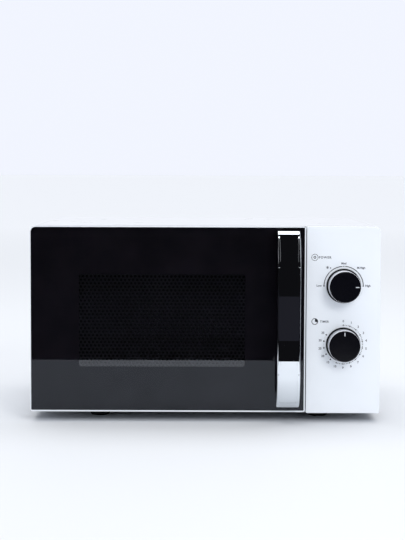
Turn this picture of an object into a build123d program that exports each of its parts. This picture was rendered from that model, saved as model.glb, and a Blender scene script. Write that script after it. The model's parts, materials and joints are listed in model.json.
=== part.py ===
"""Countertop microwave oven with a side-hinged glass door, two dials and a glass turntable.

Millimetres. +Z is up, the front faces -Y, and +X is to the right as seen from the front.
The origin lies on the surface the oven stands on, under the middle of its overall box.
"""

import math
import os

from build123d import *

# ---------------------------------------------------------------- driving sizes
BODY_W = 452.0  # width over the casing
FACE_H = 242.0  # height of the casing, without feet
BODY_D = 330.0  # from the face of the door glass to the rear edge of the casing
FOOT_H = 12.0
HANDLE_OUT = 35.0  # how far the handle stands off the door glass
GLAND_OUT = 5.0  # how far the cord gland stands off the rear edge
SHEET = 1.0  # steel sheet
CORNER_R = 8.0  # upper corners of the front
LOW_CORNER_R = 2.0

PANEL_W = 95.5  # control panel
DOOR_GAP = 1.0  # between the door and the control panel
DOOR_T = 24.0
DOOR_LOW_GAP = 1.2  # the door hangs this far above the casing's lower edge
DOOR_TOP_GAP = 0.8
SEAL_GAP = 0.5  # between the closed door and the front plate
PANEL_BACK_GAP = 0.1  # between the control panel and the front plate
BAY_W = 130.0  # machine bay to the right of the cooking cavity
SIDE_GAP = 12.0  # air gap between the cavity and the casing's left side
UNDER_CAVITY = 24.0  # room for the turntable motor
OVER_CAVITY = 14.0
BEHIND_CAVITY = 14.5
CAVITY_CORNER_R = 6.0  # rear upright corners of the cavity
FIT_GAP = 0.15  # play between parts that are only pushed together
RUN_GAP = 0.05  # radial clearance of a turning shaft or pin

# ---------------------------------------------------------------- places that follow from them
TOTAL_D = HANDLE_OUT + BODY_D + GLAND_OUT
FRONT = -TOTAL_D / 2 + HANDLE_OUT  # face of the door glass
REAR = FRONT + BODY_D
LEFT, RIGHT = -BODY_W / 2, BODY_W / 2
BASE_Z, TOP_Z = FOOT_H, FOOT_H + FACE_H
IN_LEFT, IN_RIGHT = LEFT + SHEET, RIGHT - SHEET
IN_TOP = TOP_Z - SHEET

PANEL_LEFT = RIGHT - PANEL_W
DOOR_LEFT, DOOR_RIGHT = LEFT, PANEL_LEFT - DOOR_GAP
DOOR_LOW, DOOR_HIGH = BASE_Z + DOOR_LOW_GAP, TOP_Z - DOOR_TOP_GAP
DOOR_BACK = FRONT + DOOR_T

PLATE_FRONT = DOOR_BACK + SEAL_GAP
PLATE_BACK = PLATE_FRONT + SHEET
BACK_PANEL_REAR = REAR - SHEET
BACK_PANEL_FRONT = BACK_PANEL_REAR - SHEET

CAVITY_LEFT = IN_LEFT + SIDE_GAP + SHEET
CAVITY_RIGHT = IN_RIGHT - BAY_W - SHEET
CAVITY_LOW = BASE_Z + SHEET + UNDER_CAVITY + SHEET
CAVITY_HIGH = IN_TOP - OVER_CAVITY - SHEET
CAVITY_BACK = BACK_PANEL_FRONT - BEHIND_CAVITY - SHEET
BAY_LEFT = CAVITY_RIGHT + SHEET
TABLE_X = (CAVITY_LEFT + CAVITY_RIGHT) / 2
TABLE_Y = (PLATE_BACK + CAVITY_BACK) / 2

# ---------------------------------------------------------------- door
RIM_LEFT, RIM_RIGHT, RIM_LOW, RIM_TOP = 1.0, 1.7, 2.0, 0.8  # rim showing round the glass
RIM_STEP = 0.4  # the rim lies this far behind the face of the glass
GLASS_T = 3.2
WEB_T = 2.2  # frame's web behind the glass
DOOR_WALL = 3.0
WINDOW_IN_LEFT, WINDOW_IN_RIGHT = 48.0, 42.0  # window, in from the cavity walls
WINDOW_IN_LOW, WINDOW_IN_HIGH = 29.0, 46.0
WINDOW_R = 4.0
SCREEN_BACK_SET = 9.0  # from the face of the glass to the perforated screen
SCREEN_IN_LEFT, SCREEN_OVER_RIGHT = 6.0, 4.0  # screen pan, inside and past the cavity walls
SCREEN_OVER_LOW, SCREEN_OVER_HIGH = 14.0, 7.0
PANE_T, PANE_OVER = 0.8, 8.0  # inner pane, and how far it laps over the window
CHOKE_T = 3.0
CHOKE_LAP = 12.0  # choke cover over the screen pan
HINGE_IN_X, HINGE_IN_Y = 5.0, 7.0  # pin axis, in from the door's side and from its back
HINGE_EDGE_R = 5.0  # rounding of the door's rear edge at the hinge
HINGE_IN_Z = 13.0  # from the door's top or bottom to the tab
PIN_R, PIN_L = 2.5, 8.0
TAB_T, TAB_HALF = 3.0, 3.6
NOTCH_SIDE, NOTCH_OVER = 1.5, 1.0  # play of the tab in its notch
BRACKET_T, BRACKET_L = 1.5, 26.0
BOSS_W, BOSS_UNDER = 17.0, 12.0

# ---------------------------------------------------------------- handle
HANDLE_TOP_GAP, HANDLE_LOW_GAP = 5.5, 9.5  # from the casing's upper and lower edge
HANDLE_RIGHT_IN = 8.5  # from the door's right edge
HANDLE_W, HANDLE_T = 29.4, 9.0
HANDLE_SHOULDER = 47.0  # length of each curved end
HANDLE_NOSE_OUT = 14.0  # thickness where the curved end stops
HANDLE_NOSE_R = 3.5
HANDLE_FOOT_L = 16.0
HANDLE_EDGE_R = 1.6
INSERT_W, INSERT_T, INSERT_END = 21.0, 1.2, 7.0

# ---------------------------------------------------------------- door latch and switches
LATCH_IN_X = 17.0  # from the cavity's right wall to the hooks
LATCH_T = 4.0
LATCH_BAR_SET, LATCH_BAR_W = 12.0, 6.0  # behind the face of the glass, and its width
HOOK_H, BARB_H, BARB_L = 8.0, 4.0, 6.0
HOOK_IN_HIGH, HOOK_IN_LOW = 46.0, 26.0  # hooks, in from the cavity's ceiling and floor
BAR_OVER = 30.0  # bar past the upper hook
LATCH_TRAVEL = 4.0
SLOT_PLAY = 2.0
SPRING_R, SPRING_WALL, SPRING_SEAT = 3.2, 0.8, 3.0
BOARD_W, BOARD_T, BOARD_END, BOARD_RIB = 32.0, 3.0, 16.0, 12.0
BARB_PLAY = 0.8
PLUNGER_GAP, PLUNGER_OUT, PLUNGER_TRAVEL, PLUNGER_R = 0.3, 2.5, 1.2, 1.2
PLUNGER_IN = 4.0
SWITCH_L, SWITCH_H, SWITCH_T = 20.0, 8.0, 6.4
SWITCH_PITCH, PAIR_RISE = 9.0, 2.5  # two switches share the upper hook; their middle above its face

# ---------------------------------------------------------------- control panel and dials
PANEL_WALL = 2.4
TIMER_RISE = 89.5  # lower dial above the casing's lower edge
DIAL_PITCH = 76.0
KNOB_X = (PANEL_LEFT + RIGHT) / 2
TIMER_Z = BASE_Z + TIMER_RISE
POWER_Z = TIMER_Z + DIAL_PITCH
KNOB_OUT, KNOB_GAP = 24.0, 0.6
FLANGE_R, FLANGE_T = 22.4, 1.8
CAP_R, CAP_T, CAP_EDGE = 20.1, 5.0, 1.3
SLEEVE_R, SLEEVE_WALL = 20.1, 1.4
SHAFT_R, SHAFT_HOLE_R = 3.0, 4.5
SHAFT_IN_KNOB, SHAFT_IN_UNIT = 15.0, 12.0
POINTER_L, POINTER_W, POINTER_D, POINTER_IN = 6.0, 1.3, 0.4, 0.9
UNIT_W, UNIT_T, UNIT_OVER, UNIT_SET = 56.0, 36.0, 26.0, 6.0
UNIT_ROOM = 5.0  # opening in the front plate, past the timer unit
UNIT_R, UNIT_WAIST_W, UNIT_WAIST_IN = 3.0, 10.0, 8.0
TAG_T, TAG_W, TAG_OUT, TAG_PITCH = 1.0, 5.0, 4.0, 7.0  # terminals on the timer unit
BELL_R, BELL_H = 19.0, 7.0
PANEL_FRAME = 12.0  # front plate left standing behind the panel's edges

# ---------------------------------------------------------------- turntable
TRAY_SIDE_GAP = 16.5  # between the tray and the nearest cavity wall
TRAY_T, TRAY_RIM_H, TRAY_RIM_W = 4.0, 7.5, 10.0
TRAY_R = min(CAVITY_RIGHT - CAVITY_LEFT, CAVITY_BACK - PLATE_BACK) / 2 - TRAY_SIDE_GAP
TRAY_LIFT = 30.0
ROLLER_R, ROLLER_W, AXLE_R = 7.35, 8.0, 2.0
ROLLER_IN = 40.0  # roller path, in from the tray's rim
ROLLER_PATH_R = TRAY_R - ROLLER_IN
ROLLER_GAP = 0.15  # over the cavity floor and under the tray
RING_W, RING_H, RING_SIDE_GAP = 6.0, 4.0, 0.5
COUPLER_R, COUPLER_HUB_R, COUPLER_ARM_W = 17.0, 8.0, 7.0
COUPLER_RISE, COUPLER_H = 1.2, 11.0
LUG_R, LUG_AT, LUG_IN = 2.5, 13.0, 3.0
MOTOR_R, MOTOR_H = 25.0, 15.0
DRIVE_R, DRIVE_HOLE_R = 3.5, 5.5
ROLLER_Z = CAVITY_LOW + ROLLER_GAP + ROLLER_R
TRAY_Z = ROLLER_Z + ROLLER_R + ROLLER_GAP
COUPLER_Z = CAVITY_LOW + COUPLER_RISE

# ---------------------------------------------------------------- machine bay
FAN_R, FAN_TIP_GAP, FAN_BLADES = 50.0, 4.0, 7
FAN_SET, FAN_DEPTH = 10.0, 24.0  # from the back panel, and along its axis
SHROUD_T, SHROUD_GAP, THROAT_L = 2.0, 2.0, 14.0
FAN_MOTOR_GAP, FAN_MOTOR_D, FAN_MOTOR_W = 8.0, 20.0, 52.0
FAN_SHAFT_R = 2.5
FAN_X = (BAY_LEFT + IN_RIGHT) / 2
FAN_DROP = 74.0  # fan axis below the casing's top
FAN_Z = IN_TOP - FAN_DROP
SHROUD_Y = BACK_PANEL_FRONT - FAN_SET - FAN_DEPTH - SHROUD_GAP - SHROUD_T
FAN_MOTOR_Y = SHROUD_Y - FAN_MOTOR_GAP - FAN_MOTOR_D
TUBE_W, TUBE_D, TUBE_H = 62.0, 88.0, 68.0  # magnetron
TUBE_BEFORE_FAN, TUBE_DROP = 44.0, 52.0
TUBE_X0 = BAY_LEFT + 37.0
TUBE_Y1 = FAN_MOTOR_Y - TUBE_BEFORE_FAN
TUBE_Y0 = TUBE_Y1 - TUBE_D
TUBE_Z1 = IN_TOP - TUBE_DROP
TUBE_Z0 = TUBE_Z1 - TUBE_H
YOKE_T = 2.0
FIN_COUNT, FIN_T, FIN_PITCH, FIN_IN = 9, 0.8, 5.0, 3.0
ANODE_R, ANTENNA_R, ANTENNA_L = 19.0, 8.0, 22.0
FILTER_W = 24.0
GUIDE_GAP = 1.0
PORT_D, PORT_H = 74.0, 42.0
CORE_W, CORE_D, CORE_H, CORE_LEG, CORE_WINDOW = 88.0, 60.0, 74.0, 14.5, 15.0
CORE_IN_X, CORE_SET = 16.0, 78.0
COIL_GAP, COIL_OUT = 0.5, 9.0
CAN_W, CAN_D, CAN_H, CAN_IN_X, CAN_BEFORE_FAN = 52.0, 32.0, 72.0, 18.0, 22.0
STRAP_T, STRAP_H = 1.2, 14.0
DUCT_WALL, DUCT_GAP = 1.5, 3.0
LAMP_SET, LAMP_R, LAMP_DROP = 36.0, 9.0, 22.0

# ---------------------------------------------------------------- casing details
FOOT_R, FOOT_TIP_R = 15.0, 13.0
FOOT_IN_LEFT, FOOT_IN_RIGHT, FOOT_IN_FRONT, FOOT_IN_REAR = 86.0, 75.0, 62.0, 42.0
FOOT_PEG_R, FOOT_HEAD_R, FOOT_HEAD_T = 3.0, 4.5, 2.0
FLANGE_IN = 10.0  # flanges of the sheets
SCREW_R, SCREW_HEAD_R, SCREW_HEAD_T, SCREW_END = 1.6, 3.6, 2.0, 5.0
GLAND_IN_X, GLAND_RISE = 34.0, 20.0
GLAND_BORE_R, GLAND_BODY_R, GLAND_FLANGE_R = 3.6, 6.0, 8.5
SLOT_L, SLOT_W, SLOT_PITCH = 30.0, 3.0, 7.0


# ---------------------------------------------------------------- helpers
def block(x0, x1, y0, y1, z0, z1):
    """A box between two opposite corners."""
    centre = Pos((x0 + x1) / 2, (y0 + y1) / 2, (z0 + z1) / 2)
    return centre * Box(abs(x1 - x0), abs(y1 - y0), abs(z1 - z0))


def rod_x(y, z, r, x0, x1):
    return Pos((x0 + x1) / 2, y, z) * Rot(0, 90, 0) * Cylinder(r, x1 - x0)


def rod_y(x, z, r, y0, y1):
    return Pos(x, (y0 + y1) / 2, z) * Rot(90, 0, 0) * Cylinder(r, y1 - y0)


def rod_z(x, y, r, z0, z1):
    return Pos(x, y, (z0 + z1) / 2) * Cylinder(r, z1 - z0)


def outline(x0, x1, z0, z1, tl=0.0, tr=0.0, br=0.0, bl=0.0):
    """A rectangle with its own radius at each corner: top left, top right and so on."""
    face = Pos((x0 + x1) / 2, (z0 + z1) / 2) * Rectangle(x1 - x0, z1 - z0)
    for radius, cx, cz in ((tl, x0, z1), (tr, x1, z1), (br, x1, z0), (bl, x0, z0)):
        if radius > 0:
            corner = face.vertices().sort_by_distance((cx, cz, 0))[0]
            face = fillet(corner, radius)
    return face


def along_y(face, y0, y1):
    """Extrudes a face drawn in (x, z) from y0 to y1."""
    plane = Plane(origin=(0, y1, 0), x_dir=(1, 0, 0), z_dir=(0, -1, 0))
    return extrude(plane * face, amount=y1 - y0, dir=(0, -1, 0))


def along_x(face, x0, x1):
    """Extrudes a face drawn in (y, z) from x0 to x1."""
    plane = Plane(origin=(x0, 0, 0), x_dir=(0, 1, 0), z_dir=(1, 0, 0))
    return extrude(plane * face, amount=x1 - x0, dir=(1, 0, 0))


def along_z(face, z0, z1):
    """Extrudes a face drawn in (x, y) from z0 to z1."""
    return extrude(Pos(0, 0, z0) * face, amount=z1 - z0, dir=(0, 0, 1))


def turned(points):
    """A face in the XZ plane whose points are (radius, height)."""
    return make_face(Plane.XZ * Polyline(*points, close=True))


def lathe_z(x, y, points):
    """Turns (radius, z) points about the vertical line through (x, y)."""
    return Pos(x, y, 0) * revolve(turned(points), Axis.Z)


def lathe_y(x, z, points):
    """Turns (radius, y) points about the line through (x, z) that runs front to back."""
    return Pos(x, 0, z) * Rot(-90, 0, 0) * revolve(turned(points), Axis.Z)


def spread(count, pitch):
    """Offsets of count things at a pitch, centred on zero."""
    return [(i - (count - 1) / 2) * pitch for i in range(count)]


def group(shapes):
    return Compound(children=list(shapes))


def around(count, start=0.0):
    """Directions (degrees) of count things spaced evenly round a circle."""
    return [start + 360.0 * i / count for i in range(count)]


# ---------------------------------------------------------------- casing
def feet_places():
    return [
        (x, y)
        for x in (LEFT + FOOT_IN_LEFT, RIGHT - FOOT_IN_RIGHT)
        for y in (FRONT + FOOT_IN_FRONT, REAR - FOOT_IN_REAR)
    ]


def screw_places():
    """Centres (x, z) of the screws in the casing's rear flange."""
    side = IN_RIGHT - FLANGE_IN / 2
    top = IN_TOP - FLANGE_IN / 2
    low = BASE_Z + FACE_H / 5
    return [(-side, low), (side, low), (-side * 0.6, top), (side * 0.6, top)]


def side_slots(x0, x1, y, z, columns, rows):
    """Louvre openings through an upright side sheet."""
    slot = outline(-SLOT_W / 2, SLOT_W / 2, -SLOT_L / 2, SLOT_L / 2)
    return [
        Pos(0, y + dy, z + dz) * along_x(slot, x0, x1)
        for dy in spread(columns, SLOT_PITCH)
        for dz in spread(rows, SLOT_L + SLOT_PITCH)
    ]


def outer_cabinet():
    """Top and sides in one folded sheet, with a flange folded in at the rear."""
    outer = outline(LEFT, RIGHT, BASE_Z, TOP_Z, tl=CORNER_R, tr=CORNER_R)
    inner_r = CORNER_R - SHEET
    inner = outline(IN_LEFT, IN_RIGHT, BASE_Z - SHEET, IN_TOP, tl=inner_r, tr=inner_r)
    lip = outline(
        IN_LEFT + FLANGE_IN, IN_RIGHT - FLANGE_IN, BASE_Z - SHEET, IN_TOP - FLANGE_IN
    )
    shell = along_y(outer, PLATE_FRONT, REAR)
    shell -= along_y(inner, PLATE_FRONT - SHEET, BACK_PANEL_REAR)
    shell -= along_y(lip, BACK_PANEL_REAR - SHEET, REAR + SHEET)
    shell -= [rod_y(x, z, SCREW_R + FIT_GAP, BACK_PANEL_REAR - 1, REAR + 1) for x, z in screw_places()]
    vent_y = REAR - BODY_D / 4
    vent_z = BASE_Z + FACE_H / 3
    shell -= side_slots(RIGHT - 2 * SHEET, RIGHT + SHEET, vent_y, vent_z, 12, 2)
    shell -= side_slots(LEFT - SHEET, LEFT + 2 * SHEET, vent_y, vent_z + FACE_H / 3, 12, 1)
    return shell


def base_plate():
    """Bottom sheet with folded side flanges and air slots under the machine bay."""
    plate = block(IN_LEFT, IN_RIGHT, PLATE_FRONT, BACK_PANEL_FRONT, BASE_Z, BASE_Z + SHEET)
    for x0, x1 in ((IN_LEFT, IN_LEFT + SHEET), (IN_RIGHT - SHEET, IN_RIGHT)):
        y0 = PLATE_BACK + BRACKET_T + FIT_GAP
        plate += block(x0, x1, y0, BACK_PANEL_FRONT, BASE_Z, BASE_Z + FLANGE_IN)
    hole_r = FOOT_PEG_R + FIT_GAP
    plate -= [rod_z(x, y, hole_r, BASE_Z - 1, BASE_Z + SHEET + 1) for x, y in feet_places()]
    slot_y = (TUBE_Y0 + TUBE_Y1) / 2
    plate -= [
        block(FAN_X - SLOT_L / 2, FAN_X + SLOT_L / 2, slot_y + dy - SLOT_W / 2, slot_y + dy + SLOT_W / 2,
              BASE_Z - 1, BASE_Z + SHEET + 1)
        for dy in spread(5, SLOT_PITCH)
    ]
    return plate


def back_panel():
    """Rear sheet with the fan's grille, a steam outlet and the cord hole."""
    inner_r = CORNER_R - SHEET
    face = outline(IN_LEFT, IN_RIGHT, BASE_Z, IN_TOP, tl=inner_r, tr=inner_r)
    panel = along_y(face, BACK_PANEL_FRONT, BACK_PANEL_REAR)
    y0, y1 = BACK_PANEL_FRONT - 1, BACK_PANEL_REAR + 1
    for dz in spread(13, SLOT_PITCH):
        half = math.sqrt(max(FAN_R ** 2 - dz ** 2, 1.0))
        for side in (-1, 1):
            x0, x1 = sorted((FAN_X + side * 3, FAN_X + side * (half - 3)))
            panel -= block(x0, x1, y0, y1, FAN_Z + dz - SLOT_W / 2, FAN_Z + dz + SLOT_W / 2)
    steam_z = IN_TOP - FLANGE_IN - SLOT_L
    for dx in spread(14, SLOT_PITCH):
        x = TABLE_X + dx
        panel -= block(x - SLOT_W / 2, x + SLOT_W / 2, y0, y1, steam_z, steam_z + SLOT_L / 2)
    panel -= rod_y(IN_RIGHT - GLAND_IN_X, BASE_Z + GLAND_RISE, GLAND_BODY_R + FIT_GAP, y0, y1)
    panel -= [rod_y(x, z, SCREW_R + FIT_GAP, y0, y1) for x, z in screw_places()]
    return panel


def foot(x, y):
    """A rubber foot with a peg that snaps through the base plate."""
    head_z = BASE_Z + SHEET + FIT_GAP
    return lathe_z(x, y, [
        (0, 0), (FOOT_TIP_R - 1.5, 0), (FOOT_TIP_R, 1.5), (FOOT_R, BASE_Z), (FOOT_PEG_R, BASE_Z),
        (FOOT_PEG_R, head_z), (FOOT_HEAD_R, head_z), (FOOT_PEG_R, head_z + FOOT_HEAD_T),
        (0, head_z + FOOT_HEAD_T),
    ])


def cord_gland():
    """Bushing for the mains lead."""
    inner_y = BACK_PANEL_FRONT - FIT_GAP
    return lathe_y(IN_RIGHT - GLAND_IN_X, BASE_Z + GLAND_RISE, [
        (GLAND_BORE_R, inner_y - 4), (GLAND_FLANGE_R - 1, inner_y - 4), (GLAND_FLANGE_R, inner_y - 3),
        (GLAND_FLANGE_R, inner_y), (GLAND_BODY_R, inner_y), (GLAND_BODY_R, BACK_PANEL_REAR + FIT_GAP),
        (GLAND_FLANGE_R, BACK_PANEL_REAR + FIT_GAP), (GLAND_FLANGE_R, REAR + GLAND_OUT - 3),
        (GLAND_BODY_R, REAR + GLAND_OUT), (GLAND_BORE_R, REAR + GLAND_OUT),
    ])


def casing_screw(x, z):
    """Screw through the casing's rear flange and the back panel."""
    head = REAR + SCREW_HEAD_T
    tip = BACK_PANEL_FRONT - SCREW_END
    return lathe_y(x, z, [
        (0, tip), (SCREW_R, tip + 1), (SCREW_R, REAR), (SCREW_HEAD_R, REAR),
        (SCREW_HEAD_R * 0.8, head - 0.4), (SCREW_HEAD_R * 0.5, head), (0, head),
    ])


# ---------------------------------------------------------------- cavity
HINGE_X = DOOR_LEFT + HINGE_IN_X
HINGE_Y = DOOR_BACK - HINGE_IN_Y
LATCH_X = CAVITY_RIGHT + LATCH_IN_X
HOOK_HIGH_Z = CAVITY_HIGH - HOOK_IN_HIGH
HOOK_LOW_Z = CAVITY_LOW + HOOK_IN_LOW
BOARD_BACK = PLATE_BACK + BOARD_T
BARB_Y0 = BOARD_BACK + BARB_PLAY
BARB_Y1 = BARB_Y0 + BARB_L


def hook_slots(y0, y1):
    """Room for the two hooks, with the latch down or lifted."""
    x0, x1 = LATCH_X - LATCH_T / 2 - SLOT_PLAY, LATCH_X + LATCH_T / 2 + SLOT_PLAY
    return [
        block(x0, x1, y0, y1, z - BARB_H - SLOT_PLAY, z + HOOK_H + LATCH_TRAVEL + SLOT_PLAY)
        for z in (HOOK_LOW_Z, HOOK_HIGH_Z)
    ]


def tab_heights(upper):
    """Lower and upper face of a hinge tab."""
    if upper:
        return DOOR_HIGH - HINGE_IN_Z - TAB_T, DOOR_HIGH - HINGE_IN_Z
    return DOOR_LOW + HINGE_IN_Z, DOOR_LOW + HINGE_IN_Z + TAB_T


def front_plate():
    """Sheet that the door closes on, open to the cavity and behind the control panel."""
    inner_r = CORNER_R - SHEET
    face = outline(IN_LEFT, IN_RIGHT, BASE_Z + SHEET, IN_TOP, tl=inner_r, tr=inner_r)
    face -= outline(CAVITY_LEFT, CAVITY_RIGHT, CAVITY_LOW, CAVITY_HIGH)
    face -= outline(
        PANEL_LEFT + PANEL_FRAME, IN_RIGHT - PANEL_FRAME, BASE_Z + PANEL_FRAME, IN_TOP - PANEL_FRAME
    )
    reach = UNIT_W / 2 + UNIT_ROOM
    rise = UNIT_OVER + UNIT_ROOM
    face -= outline(KNOB_X - reach, KNOB_X + reach, TIMER_Z - rise, POWER_Z + rise)
    plate = along_y(face, PLATE_FRONT, PLATE_BACK)
    plate -= hook_slots(PLATE_FRONT - 1, PLATE_BACK + 1)
    for upper in (True, False):
        z0, z1 = tab_heights(upper)
        x0, x1 = HINGE_X - TAB_HALF, HINGE_X + TAB_HALF
        plate -= block(x0, x1 + FIT_GAP, PLATE_FRONT - 1, PLATE_BACK + 1, z0 - FIT_GAP, z1 + FIT_GAP)
    return plate


def cavity_plan(x0, x1, y0, y1, radius):
    """Plan of the cavity, rounded at its two rear corners."""
    return outline(x0, x1, y0, y1, tl=radius, tr=radius)


def cavity_wrap():
    """Left wall, rear wall and right wall of the cavity in one folded sheet."""
    outer = cavity_plan(
        CAVITY_LEFT - SHEET, CAVITY_RIGHT + SHEET, PLATE_BACK, CAVITY_BACK + SHEET, CAVITY_CORNER_R + SHEET
    )
    inner = cavity_plan(CAVITY_LEFT, CAVITY_RIGHT, PLATE_BACK - SHEET, CAVITY_BACK, CAVITY_CORNER_R)
    wall = along_z(outer - inner, CAVITY_LOW - SHEET, CAVITY_HIGH + SHEET)
    port_y, port_z = (TUBE_Y0 + TUBE_Y1) / 2, (TUBE_Z0 + TUBE_Z1) / 2
    port = outline(port_y - PORT_D / 2, port_y + PORT_D / 2, port_z - PORT_H / 2, port_z + PORT_H / 2)
    wall -= along_x(port, CAVITY_RIGHT - SHEET, CAVITY_RIGHT + 2 * SHEET)
    for x in (CAVITY_LEFT - SHEET / 2, CAVITY_RIGHT + SHEET / 2):
        for dy in spread(5, 5.0):
            y = PLATE_BACK + LAMP_SET + dy
            z = CAVITY_HIGH - LAMP_DROP
            wall -= block(x - SHEET, x + SHEET, y - 1, y + 1, z - 9, z + 9)
    return wall


def cavity_sheet(z0):
    plan = cavity_plan(CAVITY_LEFT, CAVITY_RIGHT, PLATE_BACK, CAVITY_BACK, CAVITY_CORNER_R)
    return along_z(plan, z0, z0 + SHEET)


def cavity_floor():
    return cavity_sheet(CAVITY_LOW - SHEET) - rod_z(
        TABLE_X, TABLE_Y, DRIVE_HOLE_R, CAVITY_LOW - 2 * SHEET, CAVITY_LOW + SHEET
    )


def waveguide_cover():
    """Mica sheet over the microwave inlet."""
    y, z = (TUBE_Y0 + TUBE_Y1) / 2, (TUBE_Z0 + TUBE_Z1) / 2
    half_y, half_z = PORT_D / 2 + 8, PORT_H / 2 + 7
    face = outline(y - half_y, y + half_y, z - half_z, z + half_z, 3, 3, 3, 3)
    return along_x(face, CAVITY_RIGHT - 0.6, CAVITY_RIGHT)


def lamp_parts():
    """Bulb beside the cavity's upper slots, and its socket."""
    y, z = PLATE_BACK + LAMP_SET, CAVITY_HIGH - LAMP_DROP
    x0 = BAY_LEFT + 4
    bulb = rod_x(y, z, LAMP_R, x0 + LAMP_R, x0 + 26) + Pos(x0 + LAMP_R, y, z) * Sphere(LAMP_R)
    bulb += rod_x(y, z, LAMP_R - 2, x0 + 26, x0 + 36)
    holder = block(x0 + 27, x0 + 44, y - 13, y + 13, z - 13, z + 13)
    holder -= rod_x(y, z, LAMP_R - 2 + FIT_GAP, x0 + 26, x0 + 36 + FIT_GAP)
    holder += block(BAY_LEFT, x0 + 44, y - 13, y + 13, z + 13, z + 13 + SHEET)
    holder += block(BAY_LEFT, BAY_LEFT + SHEET, y - 13, y + 13, z + 13, CAVITY_HIGH)
    return bulb, holder


# ---------------------------------------------------------------- door
GLASS_LEFT, GLASS_RIGHT = DOOR_LEFT + RIM_LEFT, DOOR_RIGHT - RIM_RIGHT
GLASS_LOW, GLASS_HIGH = DOOR_LOW + RIM_LOW, DOOR_HIGH - RIM_TOP
GLASS_R = CORNER_R - RIM_LEFT
WEB_Y0, WEB_Y1 = FRONT + GLASS_T, FRONT + GLASS_T + WEB_T
WINDOW = (
    CAVITY_LEFT + WINDOW_IN_LEFT, CAVITY_RIGHT - WINDOW_IN_RIGHT,
    CAVITY_LOW + WINDOW_IN_LOW, CAVITY_HIGH - WINDOW_IN_HIGH,
)
SCREEN_Y = FRONT + SCREEN_BACK_SET
SCREEN = (
    CAVITY_LEFT + SCREEN_IN_LEFT, CAVITY_RIGHT + SCREEN_OVER_RIGHT,
    CAVITY_LOW - SCREEN_OVER_LOW, CAVITY_HIGH + SCREEN_OVER_HIGH,
)
CHOKE_Y0, CHOKE_Y1 = DOOR_BACK - CHOKE_T, DOOR_BACK - 0.2
BAR_Y0 = FRONT + LATCH_BAR_SET
BAR_Y1 = BAR_Y0 + LATCH_BAR_W
BAR_LOW, BAR_HIGH = HOOK_LOW_Z - BARB_H, HOOK_HIGH_Z + BAR_OVER
SEAT_Z = DOOR_HIGH - DOOR_WALL - 2
BAR_X0, BAR_X1 = LATCH_X - LATCH_T / 2, LATCH_X + LATCH_T / 2


def grown(sides, by):
    """Widens (x0, x1, z0, z1) by the same amount all round."""
    return sides[0] - by, sides[1] + by, sides[2] - by, sides[3] + by


def hinge_boss(upper, grow=0.0):
    """Solid corner of the door that takes the hinge pin."""
    z0, z1 = tab_heights(upper)
    x1 = DOOR_LEFT + BOSS_W + grow
    if upper:
        return block(DOOR_LEFT + 1, x1, WEB_Y1 - 1, DOOR_BACK, z0 - BOSS_UNDER - grow, DOOR_HIGH - 1)
    return block(DOOR_LEFT + 1, x1, WEB_Y1 - 1, DOOR_BACK, DOOR_LOW + 1, z1 + BOSS_UNDER + grow)


def hinge_room(upper):
    """Notch for the tab, open to the back and the side, and the hole for the pin."""
    z0, z1 = tab_heights(upper)
    reach = TAB_HALF + NOTCH_SIDE
    notch = block(
        DOOR_LEFT - 1, HINGE_X + reach, HINGE_Y - reach, DOOR_BACK + 1, z0 - NOTCH_OVER, z1 + NOTCH_OVER
    )
    hole_z = (z0 - PIN_L - 1, z0) if upper else (z1, z1 + PIN_L + 1)
    return notch + rod_z(HINGE_X, HINGE_Y, PIN_R + RUN_GAP, *hole_z)


def door_frame():
    """Moulded frame: rim and web round the glass, walls behind, bosses for the hinge pins."""
    face = outline(
        DOOR_LEFT, DOOR_RIGHT, DOOR_LOW, DOOR_HIGH, CORNER_R, LOW_CORNER_R, LOW_CORNER_R, LOW_CORNER_R
    )
    frame = along_y(face, FRONT + RIM_STEP, DOOR_BACK)
    bed = outline(GLASS_LEFT - FIT_GAP, GLASS_RIGHT + FIT_GAP, GLASS_LOW - FIT_GAP, GLASS_HIGH + FIT_GAP,
                  GLASS_R + FIT_GAP, 1, 1, 1)
    frame -= along_y(bed, FRONT - 1, WEB_Y0)
    frame -= along_y(outline(*WINDOW, *[WINDOW_R] * 4), WEB_Y0 - 1, WEB_Y1 + 1)
    hollow = grown((DOOR_LEFT, DOOR_RIGHT, DOOR_LOW, DOOR_HIGH), -DOOR_WALL)
    frame -= along_y(outline(*hollow, CORNER_R - DOOR_WALL), WEB_Y1, DOOR_BACK + 1)
    frame += [hinge_boss(True), hinge_boss(False)]
    seat = block(LATCH_X - 6, LATCH_X + 6, WEB_Y1 - 1, BAR_Y1 + 1, SEAT_Z - SPRING_SEAT, DOOR_HIGH - 1)
    guides = [
        block(BAR_X0 - 4, BAR_X0 - 0.4, WEB_Y1 - 1, BAR_Y1, z, z + 12)
        + block(BAR_X1 + 0.4, BAR_X1 + 4, WEB_Y1 - 1, BAR_Y1, z, z + 12)
        for z in (HOOK_LOW_Z + 2 * HOOK_H, HOOK_HIGH_Z - 3 * HOOK_H)
    ]
    frame += [seat] + guides
    frame -= [hinge_room(True), hinge_room(False)]
    plan = outline(DOOR_LEFT, DOOR_RIGHT, FRONT, DOOR_BACK, tl=HINGE_EDGE_R)
    return frame & along_z(plan, DOOR_LOW - 1, DOOR_HIGH + 1)


def door_glass():
    face = outline(GLASS_LEFT, GLASS_RIGHT, GLASS_LOW, GLASS_HIGH, GLASS_R, 1, 1, 1)
    return along_y(face, FRONT, WEB_Y0)


def door_screen():
    """Steel pan whose face is the perforated screen behind the window."""
    pan = along_y(outline(*SCREEN, 5, 5, 5, 5), SCREEN_Y, CHOKE_Y0)
    return pan - along_y(outline(*grown(SCREEN, -SHEET), 4, 4, 4, 4), SCREEN_Y + SHEET, CHOKE_Y0 + 1)


def window_film():
    """Clear inner pane behind the screen."""
    face = outline(*grown(WINDOW, PANE_OVER), 4, 4, 4, 4)
    return along_y(face, SCREEN_Y + SHEET, SCREEN_Y + SHEET + PANE_T)


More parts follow.
